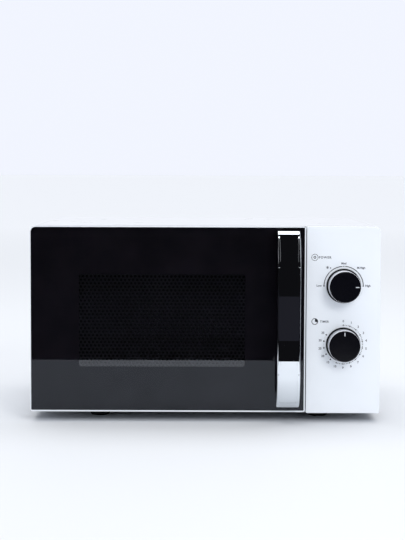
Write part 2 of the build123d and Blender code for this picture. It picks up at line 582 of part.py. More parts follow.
def choke_cover():
    """Plastic ring that closes the back of the door round the screen."""
    hollow = grown((DOOR_LEFT, DOOR_RIGHT, DOOR_LOW, DOOR_HIGH), -DOOR_WALL - FIT_GAP)
    ring = along_y(outline(*hollow, CORNER_R - DOOR_WALL - FIT_GAP), CHOKE_Y0, CHOKE_Y1)
    opening = grown(SCREEN, -CHOKE_LAP)
    ring -= along_y(outline(*opening, 5, 5, 5, 5), CHOKE_Y0 - 1, CHOKE_Y1 + 1)
    ring -= hook_slots(CHOKE_Y0 - 1, CHOKE_Y1 + 1)
    return ring - [hinge_boss(True, FIT_GAP), hinge_boss(False, FIT_GAP)]


def hinge_bracket(upper):
    """Plate behind the front plate, with a tab and pin that reach into the door."""
    z0, z1 = tab_heights(upper)
    x0, x1 = HINGE_X - TAB_HALF, HINGE_X + TAB_HALF
    tab = block(x0, x1, HINGE_Y, PLATE_BACK + BRACKET_T, z0, z1)
    tab += rod_z(HINGE_X, HINGE_Y, TAB_HALF, z0, z1)
    mid = (z0 + z1) / 2
    plate = block(
        x0, CAVITY_LEFT - SHEET - FIT_GAP, PLATE_BACK, PLATE_BACK + BRACKET_T,
        mid - BRACKET_L / 2, min(mid + BRACKET_L / 2, IN_TOP - CORNER_R)
    )
    pin_z = (z0 - PIN_L, z0 + 1) if upper else (z1 - 1, z1 + PIN_L)
    return tab + plate + rod_z(HINGE_X, HINGE_Y, PIN_R, *pin_z)


def door_latch():
    """Upright bar with two hooks that reach through the front plate."""
    latch = block(BAR_X0, BAR_X1, BAR_Y0, BAR_Y1, BAR_LOW, BAR_HIGH)
    for z in (HOOK_LOW_Z, HOOK_HIGH_Z):
        side = make_face(Polyline(
            (BAR_Y0 + 1, z), (BARB_Y0, z), (BARB_Y0, z - BARB_H), (BARB_Y1 - 3, z - BARB_H),
            (BARB_Y1, z + 1), (BARB_Y1, z + HOOK_H), (BAR_Y0 + 1, z + HOOK_H), close=True
        ))
        latch += along_x(side, BAR_X0, BAR_X1)
    return latch


def latch_spring():
    """Coil spring that holds the latch down, drawn as a sleeve of its outer size."""
    y = (BAR_Y0 + BAR_Y1) / 2
    z0, z1 = BAR_HIGH + FIT_GAP, SEAT_Z - SPRING_SEAT - FIT_GAP
    return rod_z(LATCH_X, y, SPRING_R, z0, z1) - rod_z(LATCH_X, y, SPRING_R - SPRING_WALL, z0 - 1, z1 + 1)


# ---------------------------------------------------------------- handle
HANDLE_X1 = DOOR_RIGHT - HANDLE_RIGHT_IN
HANDLE_X0 = HANDLE_X1 - HANDLE_W
HANDLE_Z0, HANDLE_Z1 = BASE_Z + HANDLE_LOW_GAP, TOP_Z - HANDLE_TOP_GAP


def bow_side(inset, nose_r=0.0):
    """Side view (y, z) of the space under the handle's outer curve, moved in by inset.

    The middle is straight, and each end is an arc that is tangent to it.
    """
    rise = HANDLE_OUT - HANDLE_NOSE_OUT
    arc_r = (rise ** 2 + HANDLE_SHOULDER ** 2) / (2 * rise)
    centre_out = HANDLE_OUT - arc_r
    r = arc_r - inset
    end_angle = math.asin(HANDLE_SHOULDER / r)
    end_out = centre_out + r * math.cos(end_angle)
    mid_out = centre_out + r * math.cos(end_angle / 2)
    mid_rise = r * math.sin(end_angle / 2)
    low, high = HANDLE_Z0 + HANDLE_SHOULDER, HANDLE_Z1 - HANDLE_SHOULDER
    out = HANDLE_OUT - inset
    edges = [
        Line((FRONT, HANDLE_Z0), (FRONT - end_out, HANDLE_Z0)),
        ThreePointArc(
            (FRONT - end_out, HANDLE_Z0), (FRONT - mid_out, low - mid_rise), (FRONT - out, low)
        ),
        Line((FRONT - out, low), (FRONT - out, high)),
        ThreePointArc(
            (FRONT - out, high), (FRONT - mid_out, high + mid_rise), (FRONT - end_out, HANDLE_Z1)
        ),
        Line((FRONT - end_out, HANDLE_Z1), (FRONT, HANDLE_Z1)),
        Line((FRONT, HANDLE_Z1), (FRONT, HANDLE_Z0)),
    ]
    face = make_face(Wire(edges))
    if nose_r > 0:
        for z in (HANDLE_Z0, HANDLE_Z1):
            face = fillet(face.vertices().sort_by_distance((FRONT - end_out, z, 0))[0], nose_r)
    return face


def insert_body(side_gap):
    """Skin on the outer face of the bow, between its rails."""
    mid = (HANDLE_X0 + HANDLE_X1) / 2
    half = INSERT_W / 2 - side_gap
    skin = along_x(bow_side(0.0), mid - half, mid + half)
    skin -= along_x(bow_side(INSERT_T), mid - half - 1, mid + half + 1)
    end = INSERT_END + side_gap
    return skin & block(
        mid - half, mid + half, FRONT - HANDLE_OUT, FRONT - 1, HANDLE_Z0 + end, HANDLE_Z1 - end
    )


def door_handle():
    bow = along_x(bow_side(0.0, HANDLE_NOSE_R), HANDLE_X0, HANDLE_X1)
    ahead = bow.edges().filter_by(lambda edge: edge.center().Y < FRONT - 1)
    sides = ahead.group_by(Axis.X)
    bow = fillet(sides[0] + sides[-1], HANDLE_EDGE_R)
    room = along_x(bow_side(HANDLE_T), HANDLE_X0 - 1, HANDLE_X1 + 1)
    room &= block(
        HANDLE_X0 - 1, HANDLE_X1 + 1, FRONT - HANDLE_OUT, FRONT + 1,
        HANDLE_Z0 + HANDLE_FOOT_L, HANDLE_Z1 - HANDLE_FOOT_L
    )
    return bow - room - insert_body(0.0)


# ---------------------------------------------------------------- control panel and dials
PANEL_BACK = PLATE_FRONT - PANEL_BACK_GAP
UNIT_Y0 = FRONT + PANEL_WALL + UNIT_SET
UNIT_Y1 = UNIT_Y0 + UNIT_T
UNIT_Z0, UNIT_Z1 = TIMER_Z - UNIT_OVER, POWER_Z + UNIT_OVER
KNOB_FRONT = FRONT - KNOB_OUT
FLANGE_BACK = FRONT - KNOB_GAP
FLANGE_FRONT = FLANGE_BACK - FLANGE_T
CAP_BACK = KNOB_FRONT + CAP_T
SHAFT_Y0, SHAFT_Y1 = FLANGE_BACK - SHAFT_IN_KNOB, UNIT_Y0 + SHAFT_IN_UNIT


def control_panel():
    face = outline(PANEL_LEFT, RIGHT, BASE_Z, TOP_Z, LOW_CORNER_R, CORNER_R, LOW_CORNER_R, LOW_CORNER_R)
    panel = along_y(face, FRONT, PANEL_BACK)
    panel = fillet(panel.faces().sort_by(Axis.Y)[0].edges(), 0.8)
    inner = grown((PANEL_LEFT, RIGHT, BASE_Z, TOP_Z), -PANEL_WALL)
    panel -= along_y(outline(*inner, 0, CORNER_R - PANEL_WALL), FRONT + PANEL_WALL, PANEL_BACK + 1)
    panel -= [rod_y(KNOB_X, z, SHAFT_HOLE_R, FRONT - 1, FRONT + PANEL_WALL + 1) for z in (POWER_Z, TIMER_Z)]
    for dx in (-UNIT_W / 2 + 5, UNIT_W / 2 - 5):
        for z in (UNIT_Z0 + 5, UNIT_Z1 - 5):
            panel += rod_y(KNOB_X + dx, z, 3.5, FRONT + PANEL_WALL - 1, UNIT_Y0)
    return panel


def knob(z, pointer_angle):
    """Dial with a flange, a core for the sleeve and a cap marked at pointer_angle (0 is right)."""
    core_r = SLEEVE_R - SLEEVE_WALL
    body = lathe_y(KNOB_X, z, [
        (SHAFT_R + FIT_GAP, FLANGE_BACK), (FLANGE_R - 0.5, FLANGE_BACK), (FLANGE_R, FLANGE_BACK - 0.5),
        (FLANGE_R - 0.3, FLANGE_FRONT), (core_r, FLANGE_FRONT), (core_r, CAP_BACK), (CAP_R, CAP_BACK),
        (CAP_R, KNOB_FRONT + CAP_EDGE), (CAP_R - CAP_EDGE, KNOB_FRONT), (0, KNOB_FRONT),
        (0, SHAFT_Y0 - FIT_GAP), (SHAFT_R + FIT_GAP, SHAFT_Y0 - FIT_GAP),
    ])
    r1 = CAP_R - CAP_EDGE - POINTER_IN
    mark = block(r1 - POINTER_L, r1, KNOB_FRONT - 1, KNOB_FRONT + POINTER_D, -POINTER_W / 2, POINTER_W / 2)
    return body - Pos(KNOB_X, 0, z) * Rot(0, -pointer_angle, 0) * mark


def knob_sleeve(z):
    core_r = SLEEVE_R - SLEEVE_WALL
    return lathe_y(KNOB_X, z, [
        (core_r, FLANGE_FRONT), (SLEEVE_R, FLANGE_FRONT), (SLEEVE_R - 0.2, CAP_BACK), (core_r, CAP_BACK),
    ])


def dial_shaft(z):
    shaft = rod_y(KNOB_X, z, SHAFT_R, SHAFT_Y0, SHAFT_Y1)
    return shaft - block(
        KNOB_X - SHAFT_R, KNOB_X + SHAFT_R, SHAFT_Y0 - 1, SHAFT_Y0 + 10, z + SHAFT_R * 0.6, z + SHAFT_R + 1
    )


def timer_unit():
    """Clockwork timer and power switch in one housing behind the control panel."""
    x0, x1 = KNOB_X - UNIT_W / 2, KNOB_X + UNIT_W / 2
    unit = block(x0, x1, UNIT_Y0, UNIT_Y1, UNIT_Z0, UNIT_Z1)
    unit = fillet(unit.edges().filter_by(Axis.Y), UNIT_R)
    unit -= [
        rod_y(KNOB_X, z, SHAFT_R + RUN_GAP, UNIT_Y0 - 1, SHAFT_Y1 + FIT_GAP) for z in (POWER_Z, TIMER_Z)
    ]
    mid = (UNIT_Z0 + UNIT_Z1) / 2
    waist = UNIT_WAIST_W / 2
    unit -= block(x0 - 1, x1 + 1, UNIT_Y0 + UNIT_WAIST_IN, UNIT_Y1 + 1, mid - waist, mid + waist)
    tag_y = UNIT_Y1 - 2 * TAG_W
    for dz in spread(4, TAG_PITCH):
        z = TIMER_Z + dz
        unit += block(
            x1 - 1, x1 + TAG_OUT, tag_y - TAG_W / 2, tag_y + TAG_W / 2, z - TAG_T / 2, z + TAG_T / 2
        )
    return unit


def timer_bell():
    """Bell that the timer's hammer strikes."""
    y = UNIT_Y1
    return lathe_y(KNOB_X, TIMER_Z, [
        (0, y), (2, y), (2, y + BELL_H - 1), (BELL_R - 4, y + BELL_H - 1), (BELL_R - 1, y + 1),
        (BELL_R, y + 1), (BELL_R - 3, y + BELL_H), (0, y + BELL_H),
    ])


# ---------------------------------------------------------------- door switches
SWITCH_Y0 = BARB_Y1 + PLUNGER_GAP + PLUNGER_OUT
SWITCH_Z = {
    "primary": HOOK_HIGH_Z + PAIR_RISE + SWITCH_PITCH / 2,
    "monitor": HOOK_HIGH_Z + PAIR_RISE - SWITCH_PITCH / 2,
    "secondary": HOOK_LOW_Z + HOOK_H / 2,
}


def latch_board():
    """Moulded carrier behind the front plate that guides the hooks and holds the switches."""
    x0, x1 = BAY_LEFT + 1, BAY_LEFT + 1 + BOARD_W
    z0, z1 = HOOK_LOW_Z - BOARD_END - BARB_H, HOOK_HIGH_Z + HOOK_H + BOARD_END
    board = block(x0, x1, PLATE_BACK, BOARD_BACK, z0, z1)
    for x in (x0, x1 - 2):
        board += block(x, x + 2, BOARD_BACK - 1, BOARD_BACK + BOARD_RIB, z0, z1)
    return board - hook_slots(PLATE_BACK - 1, BOARD_BACK + 1)


def interlock_switch(z):
    body = block(
        LATCH_X - SWITCH_T / 2, LATCH_X + SWITCH_T / 2, SWITCH_Y0, SWITCH_Y0 + SWITCH_L,
        z - SWITCH_H / 2, z + SWITCH_H / 2
    )
    body -= rod_y(LATCH_X, z, PLUNGER_R + RUN_GAP, SWITCH_Y0 - 1, SWITCH_Y0 + PLUNGER_IN + PLUNGER_TRAVEL + 1)
    for dy in spread(2, 8.0):
        y = SWITCH_Y0 + SWITCH_L * 0.6 + dy
        body += block(LATCH_X + SWITCH_T / 2 - 1, LATCH_X + SWITCH_T / 2 + 5, y - 2, y + 2, z - 0.4, z + 0.4)
    return body


def plunger(z):
    return rod_y(LATCH_X, z, PLUNGER_R, SWITCH_Y0 - PLUNGER_OUT, SWITCH_Y0 + PLUNGER_IN)


# ---------------------------------------------------------------- machine bay
GUIDE_X0, GUIDE_X1 = BAY_LEFT, TUBE_X0 - GUIDE_GAP
GUIDE_Y0, GUIDE_Y1 = TUBE_Y0, TUBE_Y1
GUIDE_Z0, GUIDE_Z1 = TUBE_Z0 - 8, TUBE_Z1 + 8
TUBE_Y, TUBE_Z = (TUBE_Y0 + TUBE_Y1) / 2, (TUBE_Z0 + TUBE_Z1) / 2
TUBE_X1 = TUBE_X0 + TUBE_W


def magnetron():
    """Anode in its steel yoke, with the antenna reaching into the waveguide."""
    tube = block(TUBE_X0, TUBE_X1, TUBE_Y0, TUBE_Y1, TUBE_Z0, TUBE_Z1)
    tube -= block(
        TUBE_X0 + YOKE_T, TUBE_X1 - YOKE_T, TUBE_Y0 - 1, TUBE_Y1 + 1, TUBE_Z0 + YOKE_T, TUBE_Z1 - YOKE_T
    )
    tube += rod_x(TUBE_Y, TUBE_Z, ANODE_R, TUBE_X0 + 1, TUBE_X1 - 1)
    return tube + rod_x(TUBE_Y, TUBE_Z, ANTENNA_R, TUBE_X0 - ANTENNA_L, TUBE_X0 + 1)


def magnetron_fins():
    """Cooling fins round the anode, from the yoke's floor to its roof."""
    mid = (TUBE_X0 + TUBE_X1) / 2
    fins = []
    for dx in spread(FIN_COUNT, FIN_PITCH):
        x0, x1 = mid + dx - FIN_T / 2, mid + dx + FIN_T / 2
        fin = block(x0, x1, TUBE_Y0 + FIN_IN, TUBE_Y1 - FIN_IN, TUBE_Z0 + YOKE_T, TUBE_Z1 - YOKE_T)
        fins.append(fin - rod_x(TUBE_Y, TUBE_Z, ANODE_R + FIT_GAP, x0 - 1, x1 + 1))
    return group(fins)


def magnetron_filter_box():
    """Screened box over the magnetron's supply terminals."""
    x0, x1 = TUBE_X1, TUBE_X1 + FILTER_W
    box = block(x0, x1, TUBE_Y - 20, TUBE_Y + 20, TUBE_Z - 18, TUBE_Z + 18)
    box = fillet(box.edges().filter_by(Axis.X), 3)
    for dz in (-7, 7):
        box += block(x0 + 8, x0 + 14, TUBE_Y - 30, TUBE_Y - 19, TUBE_Z + dz - 0.4, TUBE_Z + dz + 0.4)
    return box


def waveguide():
    """Sheet duct from the magnetron's antenna to the cavity's inlet."""
    duct = block(GUIDE_X0, GUIDE_X1, GUIDE_Y0, GUIDE_Y1, GUIDE_Z0, GUIDE_Z1)
    duct -= block(
        GUIDE_X0 - 1, GUIDE_X1 - SHEET, GUIDE_Y0 + SHEET, GUIDE_Y1 - SHEET, GUIDE_Z0 + SHEET, GUIDE_Z1 - SHEET
    )
    return duct - rod_x(TUBE_Y, TUBE_Z, ANTENNA_R + 1, GUIDE_X1 - 2, GUIDE_X1 + 1)


CORE_X0, CORE_Y0, CORE_Z0 = BAY_LEFT + CORE_IN_X, FRONT + CORE_SET, BASE_Z + SHEET
CORE_X1, CORE_Y1, CORE_Z1 = CORE_X0 + CORE_W, CORE_Y0 + CORE_D, CORE_Z0 + CORE_H


def core_windows():
    """Lower left corners (x) and heights of the two openings in the laminations."""
    z0, z1 = CORE_Z0 + CORE_LEG, CORE_Z1 - CORE_LEG
    inner = CORE_X1 - CORE_LEG - CORE_WINDOW
    return [(CORE_X0 + CORE_LEG, z0, z1), (inner, z0, z1)]


def transformer_core():
    core = block(CORE_X0, CORE_X1, CORE_Y0, CORE_Y1, CORE_Z0, CORE_Z1)
    for x, z0, z1 in core_windows():
        core -= block(x, x + CORE_WINDOW, CORE_Y0 - 1, CORE_Y1 + 1, z0, z1)
    core += block(CORE_X0 - 8, CORE_X1 + 8, CORE_Y0 + 4, CORE_Y1 - 4, CORE_Z0, CORE_Z0 + 2)
    return core


def transformer_windings():
    """Two coils round the middle leg, one above the other."""
    (left_x, z0, z1), (right_x, _, _) = core_windows()
    leg_x0, leg_x1 = left_x + CORE_WINDOW, right_x
    middle = (z0 + z1) / 2
    coils = []
    for low, high in ((z0 + COIL_GAP, middle - 1), (middle + 1, z1 - COIL_GAP)):
        plan = outline(left_x + COIL_GAP, right_x + CORE_WINDOW - COIL_GAP,
                       CORE_Y0 - COIL_OUT, CORE_Y1 + COIL_OUT, 8, 8, 8, 8)
        plan -= outline(leg_x0 - FIT_GAP, leg_x1 + FIT_GAP, CORE_Y0 - FIT_GAP, CORE_Y1 + FIT_GAP)
        coils.append(along_z(plan, low, high))
    return group(coils)


CAN_X0 = BAY_LEFT + CAN_IN_X
CAN_Y1 = FAN_MOTOR_Y - CAN_BEFORE_FAN
CAN_Y0 = CAN_Y1 - CAN_D
CAN_Z0 = BASE_Z + SHEET


def can_plan(grow=0.0):
    r = CAN_D / 2 + grow
    return outline(CAN_X0 - grow, CAN_X0 + CAN_W + grow, CAN_Y0 - grow, CAN_Y1 + grow, *[r - 0.1] * 4)


def hv_capacitor():
    """Oval capacitor can with two terminals on top."""
    can = along_z(can_plan(), CAN_Z0, CAN_Z0 + CAN_H)
    y = (CAN_Y0 + CAN_Y1) / 2
    for x in (CAN_X0 + CAN_W / 2 - 10, CAN_X0 + CAN_W / 2 + 10):
        can += rod_z(x, y, 4, CAN_Z0 + CAN_H - 1, CAN_Z0 + CAN_H + 5)
        can += block(x - 0.4, x + 0.4, y - 3, y + 3, CAN_Z0 + CAN_H + 4, CAN_Z0 + CAN_H + 13)
    return can


def capacitor_clamp():
    """Strap round the can, with a foot on the base plate."""
    z0 = CAN_Z0 + CAN_H / 2 - STRAP_H / 2
    strap = along_z(can_plan(STRAP_T) - can_plan(0.0), z0, z0 + STRAP_H)
    y = (CAN_Y0 + CAN_Y1) / 2
    x = CAN_X0 + CAN_W + STRAP_T
    strap += block(x - 0.6, x + 1.2, y - 6, y + 6, CAN_Z0, z0 + STRAP_H)
    return strap + block(x - 0.6, x + 14, y - 6, y + 6, CAN_Z0, CAN_Z0 + STRAP_T)


def hv_diode():
    """Diode lying on the base plate beside the capacitor."""
    x, y, z = CAN_X0 + CAN_W / 2, CAN_Y0 - 14, CAN_Z0 + 3.2
    diode = rod_x(y, z, 3.2, x - 8, x + 8) + rod_x(y, z, 0.7, x - 18, x + 18)
    return diode + block(x + 17, x + 24, y - 4, y + 4, CAN_Z0, z + 0.7)


def fan_shroud():
    """Upright plate with a round throat for the fan, on the rear of the machine bay."""
    face = outline(BAY_LEFT + FIT_GAP, IN_RIGHT - FIT_GAP, FAN_Z - FAN_R - 14, IN_TOP - FIT_GAP, 0, CORNER_R)
    plate = along_y(face, SHROUD_Y, SHROUD_Y + SHROUD_T)
    throat_r = FAN_R + FAN_TIP_GAP
    rim_r, rim_y = throat_r + SHROUD_T, SHROUD_Y + THROAT_L
    plate += lathe_y(FAN_X, FAN_Z, [
        (throat_r, SHROUD_Y), (rim_r, SHROUD_Y), (rim_r, rim_y), (throat_r, rim_y)
    ])
    plate -= rod_y(FAN_X, FAN_Z, throat_r, SHROUD_Y - 1, SHROUD_Y + SHROUD_T + 1)
    for x in (FAN_X - FAN_MOTOR_W / 2, FAN_X + FAN_MOTOR_W / 2 - 6):
        arm = block(x, x + 6, FAN_MOTOR_Y + FAN_MOTOR_D - 1, SHROUD_Y, FAN_Z - 3, FAN_Z + 3)
        out = FAN_X + math.copysign(throat_r + 5, x + 3 - FAN_X)
        arm += block(x, out, SHROUD_Y - 4, SHROUD_Y, FAN_Z - 3, FAN_Z + 3)
        arm += block(out - 3, out + 3, SHROUD_Y - 4, SHROUD_Y + 1, FAN_Z - 3, FAN_Z + 3)
        arm -= block(x - 1, x + 7, FAN_MOTOR_Y, FAN_MOTOR_Y + FAN_MOTOR_D, FAN_Z - 4, FAN_Z + 4)
        plate += arm
    return plate


def fan_motor():
    """Shaded-pole motor: a laminated frame with its coil on one side."""
    half = FAN_MOTOR_W / 2
    y0, y1 = FAN_MOTOR_Y, FAN_MOTOR_Y + FAN_MOTOR_D
    motor = block(FAN_X - half, FAN_X + half, y0, y1, FAN_Z - half, FAN_Z + half)
    motor -= block(FAN_X - half + 9, FAN_X + half - 9, y0 - 1, y1 + 1, FAN_Z - half + 8, FAN_Z - half + 12)
    motor += block(FAN_X - 12, FAN_X + 12, y0 - 5, y1 + 3, FAN_Z - half - 4, FAN_Z - half + 8)
    return motor - rod_y(FAN_X, FAN_Z, FAN_SHAFT_R + RUN_GAP, y0 - 6, y1 + 4)


def fan_blade():
    """Axial fan: hub, pitched blades and its shaft through the motor."""
    y0 = SHROUD_Y + SHROUD_T + SHROUD_GAP
    y1 = y0 + FAN_DEPTH
    mid = (y0 + y1) / 2
    fan = rod_y(FAN_X, FAN_Z, 13, y0, y1) + rod_y(FAN_X, FAN_Z, FAN_SHAFT_R, FAN_MOTOR_Y - 4, y0 + 1)
    blade = Pos(0, 0, (FAN_R + 10) / 2) * Rot(0, 0, 35) * Box(30, 1.6, FAN_R - 12)
    sweep_room = rod_y(0, 0, FAN_R, -FAN_DEPTH / 2, FAN_DEPTH / 2)
    blade = blade & sweep_room
    fan += [Pos(FAN_X, mid, FAN_Z) * Rot(0, a, 0) * blade for a in around(FAN_BLADES)]
    return fan


def air_duct():
    """Duct that leads the magnetron's cooling air to the cavity's side slots."""
    y0, y1 = SWITCH_Y0 + SWITCH_L + DUCT_GAP, TUBE_Y0 - DUCT_GAP
    x0, x1 = BAY_LEFT + FIT_GAP, TUBE_X1
    z0, z1 = TUBE_Z0, min(TUBE_Z1, CAVITY_HIGH - LAMP_DROP - 15)
    duct = block(x0, x1, y0, y1, z0, z1)
    duct -= block(x0 + DUCT_WALL, x1 - DUCT_WALL, y0 + DUCT_WALL, y1 + 1, z0 + DUCT_WALL, z1 - DUCT_WALL)
    mouth = (y1 - y0) / 3
    return duct - block(
        x0 - 1, x0 + DUCT_WALL + 1, y0 + DUCT_WALL, y0 + DUCT_WALL + mouth, z0 + DUCT_WALL, z1 - DUCT_WALL
    )


def fuse_board():
    """Circuit board with the mains filter: coil, capacitor and fuse."""
    x0 = IN_RIGHT - 11
    y0, y1 = CAN_Y0 - 4, CAN_Y1 + 4
    z0, z1 = BASE_Z + 52, BASE_Z + 112
    board = block(x0, x0 + 1.6, y0, y1, z0, z1)
    y = (y0 + y1) / 2
    board += rod_x(y, z1 - 18, 9, x0 - 14, x0 + 0.5) - rod_x(y, z1 - 18, 4, x0 - 15, x0 - 1)
    board += block(x0 - 12, x0 + 0.5, y - 13, y + 13, z0 + 20, z0 + 29)
    board += Pos(x0 - 5, y, z0 + 9) * Rot(90, 0, 0) * Cylinder(3, 22)
    board += [block(x0 - 8, x0 + 0.5, y + dy - 1.5, y + dy + 1.5, z0 + 5, z0 + 13) for dy in (-9, 9)]
    for z in (z0 + 4, z1 - 4):
        board += rod_x(y0 + 4, z, 2.5, x0 + 1, IN_RIGHT)
    return board


# ---------------------------------------------------------------- turntable
def turntable_motor():
    """Geared motor under the cavity floor."""
    z1 = CAVITY_LOW - SHEET - FIT_GAP
    motor = rod_z(TABLE_X, TABLE_Y, MOTOR_R, z1 - MOTOR_H, z1)
    for side in (-1, 1):
        x = TABLE_X + side * (MOTOR_R + 4)
        motor += block(x - 6, x + 6, TABLE_Y - 5, TABLE_Y + 5, z1 - SHEET, z1)
    return motor - rod_z(TABLE_X, TABLE_Y, DRIVE_R + RUN_GAP, z1 - MOTOR_H / 2, z1 + 1)


def turntable_shaft():
    """Motor shaft with a flat, standing in the coupler."""
    low = CAVITY_LOW - SHEET - FIT_GAP - MOTOR_H / 2 + FIT_GAP
    high = COUPLER_Z + COUPLER_H / 2
    shaft = rod_z(TABLE_X, TABLE_Y, DRIVE_R, low, high)
    flat_y = TABLE_Y + DRIVE_R * 0.6
    return shaft - block(
        TABLE_X - DRIVE_R, TABLE_X + DRIVE_R, flat_y, flat_y + DRIVE_R, COUPLER_Z, high + 1
    )


def turntable_coupler():
    """Three-armed hub on the motor shaft."""
    z0, z1 = COUPLER_Z, COUPLER_Z + COUPLER_H
    hub = rod_z(TABLE_X, TABLE_Y, COUPLER_HUB_R, z0, z1)
    arm = block(0, COUPLER_R - COUPLER_ARM_W / 2, -COUPLER_ARM_W / 2, COUPLER_ARM_W / 2, z0, z1 - 1)
    arm += rod_z(COUPLER_R - COUPLER_ARM_W / 2, 0, COUPLER_ARM_W / 2, z0, z1 - 1)
    hub += [Pos(TABLE_X, TABLE_Y, 0) * Rot(0, 0, a) * arm for a in around(3, 90)]
    return hub - rod_z(TABLE_X, TABLE_Y, DRIVE_R + FIT_GAP, z0 - 1, z0 + COUPLER_H / 2 + FIT_GAP)


def glass_tray():
    """Round glass tray: flat floor, raised rim and three lugs for the coupler."""
    flat_r = TRAY_R - TRAY_RIM_W
    tray = lathe_z(TABLE_X, TABLE_Y, [
        (0, TRAY_Z), (flat_r, TRAY_Z), (TRAY_R - 1, TRAY_Z + TRAY_RIM_H), (TRAY_R, TRAY_Z + TRAY_RIM_H + 2),
        (TRAY_R - 1, TRAY_Z + TRAY_RIM_H + TRAY_T), (TRAY_R - 3, TRAY_Z + TRAY_RIM_H + TRAY_T - 1),
        (flat_r - 2, TRAY_Z + TRAY_T), (0, TRAY_Z + TRAY_T),
    ])
    lug_z = COUPLER_Z + COUPLER_H - LUG_IN
    tray += [
        Pos(TABLE_X, TABLE_Y, 0) * Rot(0, 0, a) * rod_z(LUG_AT, 0, LUG_R, lug_z, TRAY_Z + 1)
        for a in around(3, 30)
    ]
    return tray


def roller_ring():
    """Ring with three stub axles that point outwards."""
    outer = ROLLER_PATH_R - ROLLER_W / 2 - RING_SIDE_GAP
    z0, z1 = ROLLER_Z - RING_H / 2, ROLLER_Z + RING_H / 2
    ring = rod_z(TABLE_X, TABLE_Y, outer, z0, z1) - rod_z(TABLE_X, TABLE_Y, outer - RING_W, z0 - 1, z1 + 1)
    end = ROLLER_PATH_R + ROLLER_W / 2 + RING_SIDE_GAP
    axle = rod_x(0, ROLLER_Z, AXLE_R, outer - 1, end) + rod_x(0, ROLLER_Z, AXLE_R + 1, end, end + 1)
    ring += [Pos(TABLE_X, TABLE_Y, 0) * Rot(0, 0, a) * axle for a in around(3, 90)]
    return ring


def roller(angle):
    x0, x1 = ROLLER_PATH_R - ROLLER_W / 2, ROLLER_PATH_R + ROLLER_W / 2
    wheel = rod_x(0, ROLLER_Z, ROLLER_R, x0, x1)
    wheel = chamfer(wheel.edges().filter_by(GeomType.CIRCLE), 0.8)
    wheel -= rod_x(0, ROLLER_Z, AXLE_R + RUN_GAP, x0 - 1, x1 + 1)
    return Pos(TABLE_X, TABLE_Y, 0) * Rot(0, 0, angle) * wheel


# ---------------------------------------------------------------- the assembly
def assembly():
    """Every piece by name."""
    lamp_bulb, lamp_holder = lamp_parts()
    parts = {
        "outer_cabinet": outer_cabinet(),
        "base_plate": base_plate(),
        "back_panel": back_panel(),
        "feet": group(foot(x, y) for x, y in feet_places()),
        "cord_gland": cord_gland(),
        "casing_screws": group(casing_screw(x, z) for x, z in screw_places()),
        "front_plate": front_plate(),
        "cavity_wrap": cavity_wrap(),
        "cavity_ceiling": cavity_sheet(CAVITY_HIGH),
        "cavity_floor": cavity_floor(),
        "waveguide_cover": waveguide_cover(),
        "lamp_bulb": lamp_bulb,
        "lamp_holder": lamp_holder,
        "door_frame": door_frame(),
        "door_glass": door_glass(),
        "door_screen": door_screen(),
        "window_film": window_film(),
        "choke_cover": choke_cover(),
        "door_handle": door_handle(),
        "handle_insert": insert_body(FIT_GAP),
        "door_latch": door_latch(),
        "latch_spring": latch_spring(),
        "upper_hinge": hinge_bracket(True),
        "lower_hinge": hinge_bracket(False),
        "control_panel": control_panel(),
        "timer_unit": timer_unit(),
        "timer_bell": timer_bell(),
        "latch_board": latch_board(),
        "interlock_switches": group(interlock_switch(z) for z in SWITCH_Z.values()),
        "magnetron": magnetron(),
        "magnetron_fins": magnetron_fins(),
        "magnetron_filter_box": magnetron_filter_box(),
        "waveguide": waveguide(),
        "transformer_core": transformer_core(),
        "transformer_windings": transformer_windings(),
        "hv_capacitor": hv_capacitor(),
        "capacitor_clamp": capacitor_clamp(),
        "hv_diode": hv_diode(),
        "fan_shroud": fan_shroud(),
        "fan_motor": fan_motor(),
        "fan_blade": fan_blade(),
        "air_duct": air_duct(),
        "fuse_board": fuse_board(),
        "turntable_motor": turntable_motor(),
        "turntable_shaft": turntable_shaft(),
        "turntable_coupler": turntable_coupler(),
        "glass_tray": glass_tray(),
        "roller_ring": roller_ring(),
    }
    for name, z, angle in (("power", POWER_Z, 0), ("timer", TIMER_Z, 90)):
        parts[f"{name}_knob"] = knob(z, angle)
        parts[f"{name}_knob_ring"] = knob_sleeve(z)
        parts[f"{name}_shaft"] = dial_shaft(z)
    for name, z in SWITCH_Z.items():
        parts[f"{name}_plunger"] = plunger(z)
    for number, angle in enumerate(around(3, 90), start=1):
        parts[f"roller_{number}"] = roller(angle)
    return parts


os.makedirs("parts", exist_ok=True)
for node, shape in assembly().items():
    export_step(shape, f"parts/{node}.step")
    size = shape.bounding_box()
    print(f"{node:22s} {shape.volume:12.1f} mm3  {size.min} {size.max}")
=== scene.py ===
"""Studio picture of a countertop microwave oven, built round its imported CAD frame.

Metres. +Z is up, the front faces -Y, and +X is to the right as seen from the front.
"""

import json
import math

import bmesh
import bpy
from mathutils import Matrix, Vector


